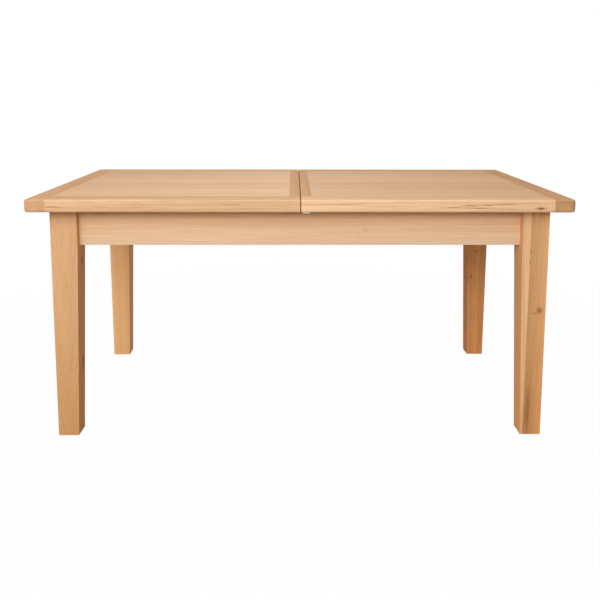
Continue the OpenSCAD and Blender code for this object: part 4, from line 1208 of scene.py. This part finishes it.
def make_screws(node):
    """All screws of a CAD node as one piece with crossed recesses, one run of the tree for each size"""
    sizes = settings().screws
    material = slot_material(SLOT_OF[node])
    tree = bpy.data.node_groups.get("Screw") or screw_tree()
    kinds = {}
    for screw in measure_screws(node):
        key = tuple(round(value / MILLIMETRE, SIZE_DIGITS) for value in screw[2:])
        kinds.setdefault(key, []).append((screw.head, screw.up))
    shape = bmesh.new()
    for key in sorted(kinds):
        length, head_depth, head_radius, under_radius, shank_radius = (value * MILLIMETRE for value in key)
        add_grown(shape, tree, kinds[key], {
            "Head radius": head_radius, "Under radius": under_radius, "Head depth": head_depth,
            "Shank radius": shank_radius, "Length": length, "Recess width": sizes.recess_width,
            "Recess length": 2 * head_radius * sizes.recess_share,
            "Recess depth": head_depth * sizes.recess_depth, "Tip": min(sizes.tip, length * TIP_SHARE),
        }, sizes.seed, material)
    piece(f"{node}_turned", shape, material, node)


def make_balls(node):
    """The balls of one body's cages"""
    material = slot_material(SLOT_OF[node])
    tree = bpy.data.node_groups.get("Ball") or ball_tree()
    solids = merged(node)
    places = []
    radius = 0.0
    for solid in islands(solids):
        low, high = corners([vert.co for vert in solid])
        radius = max(high - low) / 2
        places.append(((low + high) / 2, Z_AXIS))
    solids.free()
    shape = bmesh.new()
    add_grown(shape, tree, places, {"Radius": radius}, 0, material)
    piece(f"{node}_polished", shape, material, node)


def make_metal(node, ease_share=1.0):
    """A metal or plastic CAD node with its long edges eased"""
    shape = merged(node)
    ease(shape, settings().edges.metal * ease_share)
    piece(f"{node}_finished", shape, slot_material(SLOT_OF[node]), node)


# Studio and operators

class Lamp(NamedTuple):
    """A square lamp of the studio: its size and its place"""
    size: float
    place: tuple


LAMPS = {
    "key": Lamp(3.0, (-1.2, -4.2, 3.2)),
    "front": Lamp(1.4, (-0.3, -4.5, 2.2)),
    "side": Lamp(2.4, (-4.0, -1.6, 2.0)),
    "top": Lamp(3.0, (0.0, -0.4, 3.8)),
}
LAMP_AIM = Vector((0, 0, 0.5))
FLOOR_GREY = (0.6, 0.6, 0.6, 1)
FLOOR_CORNERS = ((-1, -1), (1, -1), (1, 1), (-1, 1))
# Share of the shadow's reach at which the floor begins to turn plain white
WHITE_START = 0.5


class TableOperator(Operator):
    """Base of the operators that make the table's pieces"""
    bl_options = {"REGISTER", "UNDO"}


class DINING_OT_camera(TableOperator):
    """Set up the camera at the photograph's view"""
    bl_idname = "dining.camera"
    bl_label = "Camera"

    def execute(self, context):
        view = settings().camera
        data = bpy.data.cameras.new("camera")
        data.sensor_width = view.sensor
        data.lens = view.focal_pixels / view.picture * view.sensor
        data.shift_y = (view.centre_row - view.picture / 2) / view.picture
        camera = bpy.data.objects.new("camera", data)
        context.scene.collection.objects.link(camera)
        ahead = Vector((math.sin(view.yaw) * math.cos(view.pitch), math.cos(view.yaw) * math.cos(view.pitch),
                        -math.sin(view.pitch)))
        level = Vector((math.cos(view.yaw), -math.sin(view.yaw), 0))
        upward = level.cross(ahead)
        right = math.cos(view.roll) * level + math.sin(view.roll) * upward
        top = right.cross(ahead)
        turn = Matrix((right, top, -ahead)).transposed().to_4x4()
        camera.matrix_world = Matrix.Translation(view.place) @ turn
        context.scene.camera = camera
        return FINISHED


class DINING_OT_studio(TableOperator):
    """Build the white floor, the room and the soft lights"""
    bl_idname = "dining.studio"
    bl_label = "Studio"

    def execute(self, context):
        light = settings().light
        self.room(context, light)
        self.floor(context, light)
        for name, lamp in LAMPS.items():
            self.lamp(context, name, getattr(light, name), lamp)
        context.scene.view_settings.view_transform = "Standard"
        return FINISHED

    def room(self, context, light):
        world = bpy.data.worlds.new("room")
        world.use_nodes = True
        nodes = NodeTree(world.node_tree)
        background = world.node_tree.nodes["Background"]
        strength = nodes.maths("MULTIPLY_ADD", nodes.sees_white(), 1 - light.ambient, light.ambient)
        nodes.put(background.inputs["Color"], WHITE)
        nodes.put(background.inputs["Strength"], strength)
        context.scene.world = world

    def floor(self, context, light):
        half = light.floor_size / 2
        mesh = bpy.data.meshes.new("floor")
        points = [(half * x, half * y, 0) for x, y in FLOOR_CORNERS]
        mesh.from_pydata(points, [], [range(len(points))])
        floor = bpy.data.objects.new("floor", mesh)
        context.scene.collection.objects.link(floor)
        material, nodes, shader = surface("floor_paint", base_color=FLOOR_GREY, roughness=0.9)
        glow = nodes.add("ShaderNodeEmission", {"Color": WHITE, "Strength": 1.0})
        away = nodes.length(nodes.on_object())
        reach = light.shadow_reach
        share = nodes.fade(away, reach * WHITE_START, reach, low=light.floor_glow)
        share = nodes.maths("MULTIPLY", nodes.sees_white(), share)
        blend = nodes.add("ShaderNodeMixShader", {0: share, 1: shader.outputs[0], 2: glow.outputs[0]})
        nodes.put(material.node_tree.nodes["Material Output"].inputs["Surface"], blend.outputs[0])
        mesh.materials.append(material)

    def lamp(self, context, name, power, kind):
        data = bpy.data.lights.new(name, "AREA")
        data.energy = power
        data.size = kind.size
        lamp = bpy.data.objects.new(name, data)
        context.scene.collection.objects.link(lamp)
        lamp.location = kind.place
        aim = LAMP_AIM - lamp.location
        lamp.rotation_euler = aim.to_track_quat("-Z", "Y").to_euler()


class DINING_OT_top(TableOperator):
    """Dress the boards of both halves of the top"""
    bl_idname = "dining.top"
    bl_label = "Top"

    def execute(self, context):
        make_boards(TOP_BOARDS)
        return FINISHED


class DINING_OT_legs(TableOperator):
    """Dress the four legs"""
    bl_idname = "dining.legs"
    bl_label = "Legs"

    def execute(self, context):
        make_boards(LEGS)
        return FINISHED


class DINING_OT_aprons(TableOperator):
    """Dress the four aprons"""
    bl_idname = "dining.aprons"
    bl_label = "Aprons"

    def execute(self, context):
        make_boards(APRONS)
        return FINISHED


class DINING_OT_under_frame(TableOperator):
    """Dress the blocks, rails, battens and runners under the top"""
    bl_idname = "dining.under_frame"
    bl_label = "Under frame"

    def execute(self, context):
        make_boards(UNDER_FRAME)
        NODES["frame_dowels"].material_slots[0].material = slot_material("inner_wood")
        return FINISHED


class DINING_OT_leaf(TableOperator):
    """Dress the folding leaf with its hinges and pivots"""
    bl_idname = "dining.leaf"
    bl_label = "Leaf"

    def execute(self, context):
        make_boards(LEAF)
        for node in ("leaf_hinges", "leaf_pins", "leaf_pivot_arms", "leaf_pivot_pins",
                     "leaf_pivot_brackets"):
            make_metal(node)
        return FINISHED


class DINING_OT_slides(TableOperator):
    """Finish the ball slides: channels, members, cages and balls"""
    bl_idname = "dining.slides"
    bl_label = "Slides"

    def execute(self, context):
        make_metal("slide_channels")
        for side in ("left", "right"):
            make_metal(f"{side}_slide_members")
            make_metal(f"{side}_ball_cages", CAGE_EASE_SHARE)
            make_balls(f"{side}_balls")
        return FINISHED


class DINING_OT_screws(TableOperator):
    """Make every wood screw with its crossed recess"""
    bl_idname = "dining.screws"
    bl_label = "Screws"

    def execute(self, context):
        for node in ("left_screws", "right_screws", "channel_screws", "leaf_screws", "corner_block_screws"):
            make_screws(node)
        return FINISHED


class DINING_OT_fittings(TableOperator):
    """Finish the bolts, nuts, latches, pins and glides"""
    bl_idname = "dining.fittings"
    bl_label = "Fittings"

    def execute(self, context):
        for node in ("leg_bolts", "leg_nuts", "foot_glides", "apron_glides", "seam_glides", "seam_pins",
                     "latch_plates", "latch_rivets", "latch_keepers",
                     "front_latch_lever", "back_latch_lever"):
            make_metal(node)
        return FINISHED


STEPS = (DINING_OT_camera, DINING_OT_studio, DINING_OT_top, DINING_OT_legs, DINING_OT_aprons,
         DINING_OT_under_frame, DINING_OT_leaf, DINING_OT_slides, DINING_OT_screws, DINING_OT_fittings)


class DINING_PT_panel(Panel):
    """Sidebar panel with the table's steps and settings"""
    bl_idname = "DINING_PT_panel"
    bl_label = "Extending dining table"
    bl_space_type = "VIEW_3D"
    bl_region_type = "UI"
    bl_category = "Table"

    def draw(self, context):
        for step in STEPS:
            self.layout.operator(step.bl_idname)
        for part in TableSettings.__annotations__:
            group = getattr(settings(), part)
            box = self.layout.box()
            for name in group.__annotations__:
                box.prop(group, name)


CLASSES = (OakFinish, MetalFinish, EdgeSizes, ScrewSizes, StudioLight, CameraPlace, TableSettings, *STEPS,
           DINING_PT_panel)


def register():
    for kind in CLASSES:
        bpy.utils.register_class(kind)
    bpy.types.Scene.dining_table = PointerProperty(type=TableSettings)


def unregister():
    del bpy.types.Scene.dining_table
    for kind in reversed(CLASSES):
        bpy.utils.unregister_class(kind)


def main():
    register()
    for step in STEPS:
        group, name = step.bl_idname.split(".")
        getattr(getattr(bpy.ops, group), name)()


if __name__ == "__main__":
    main()
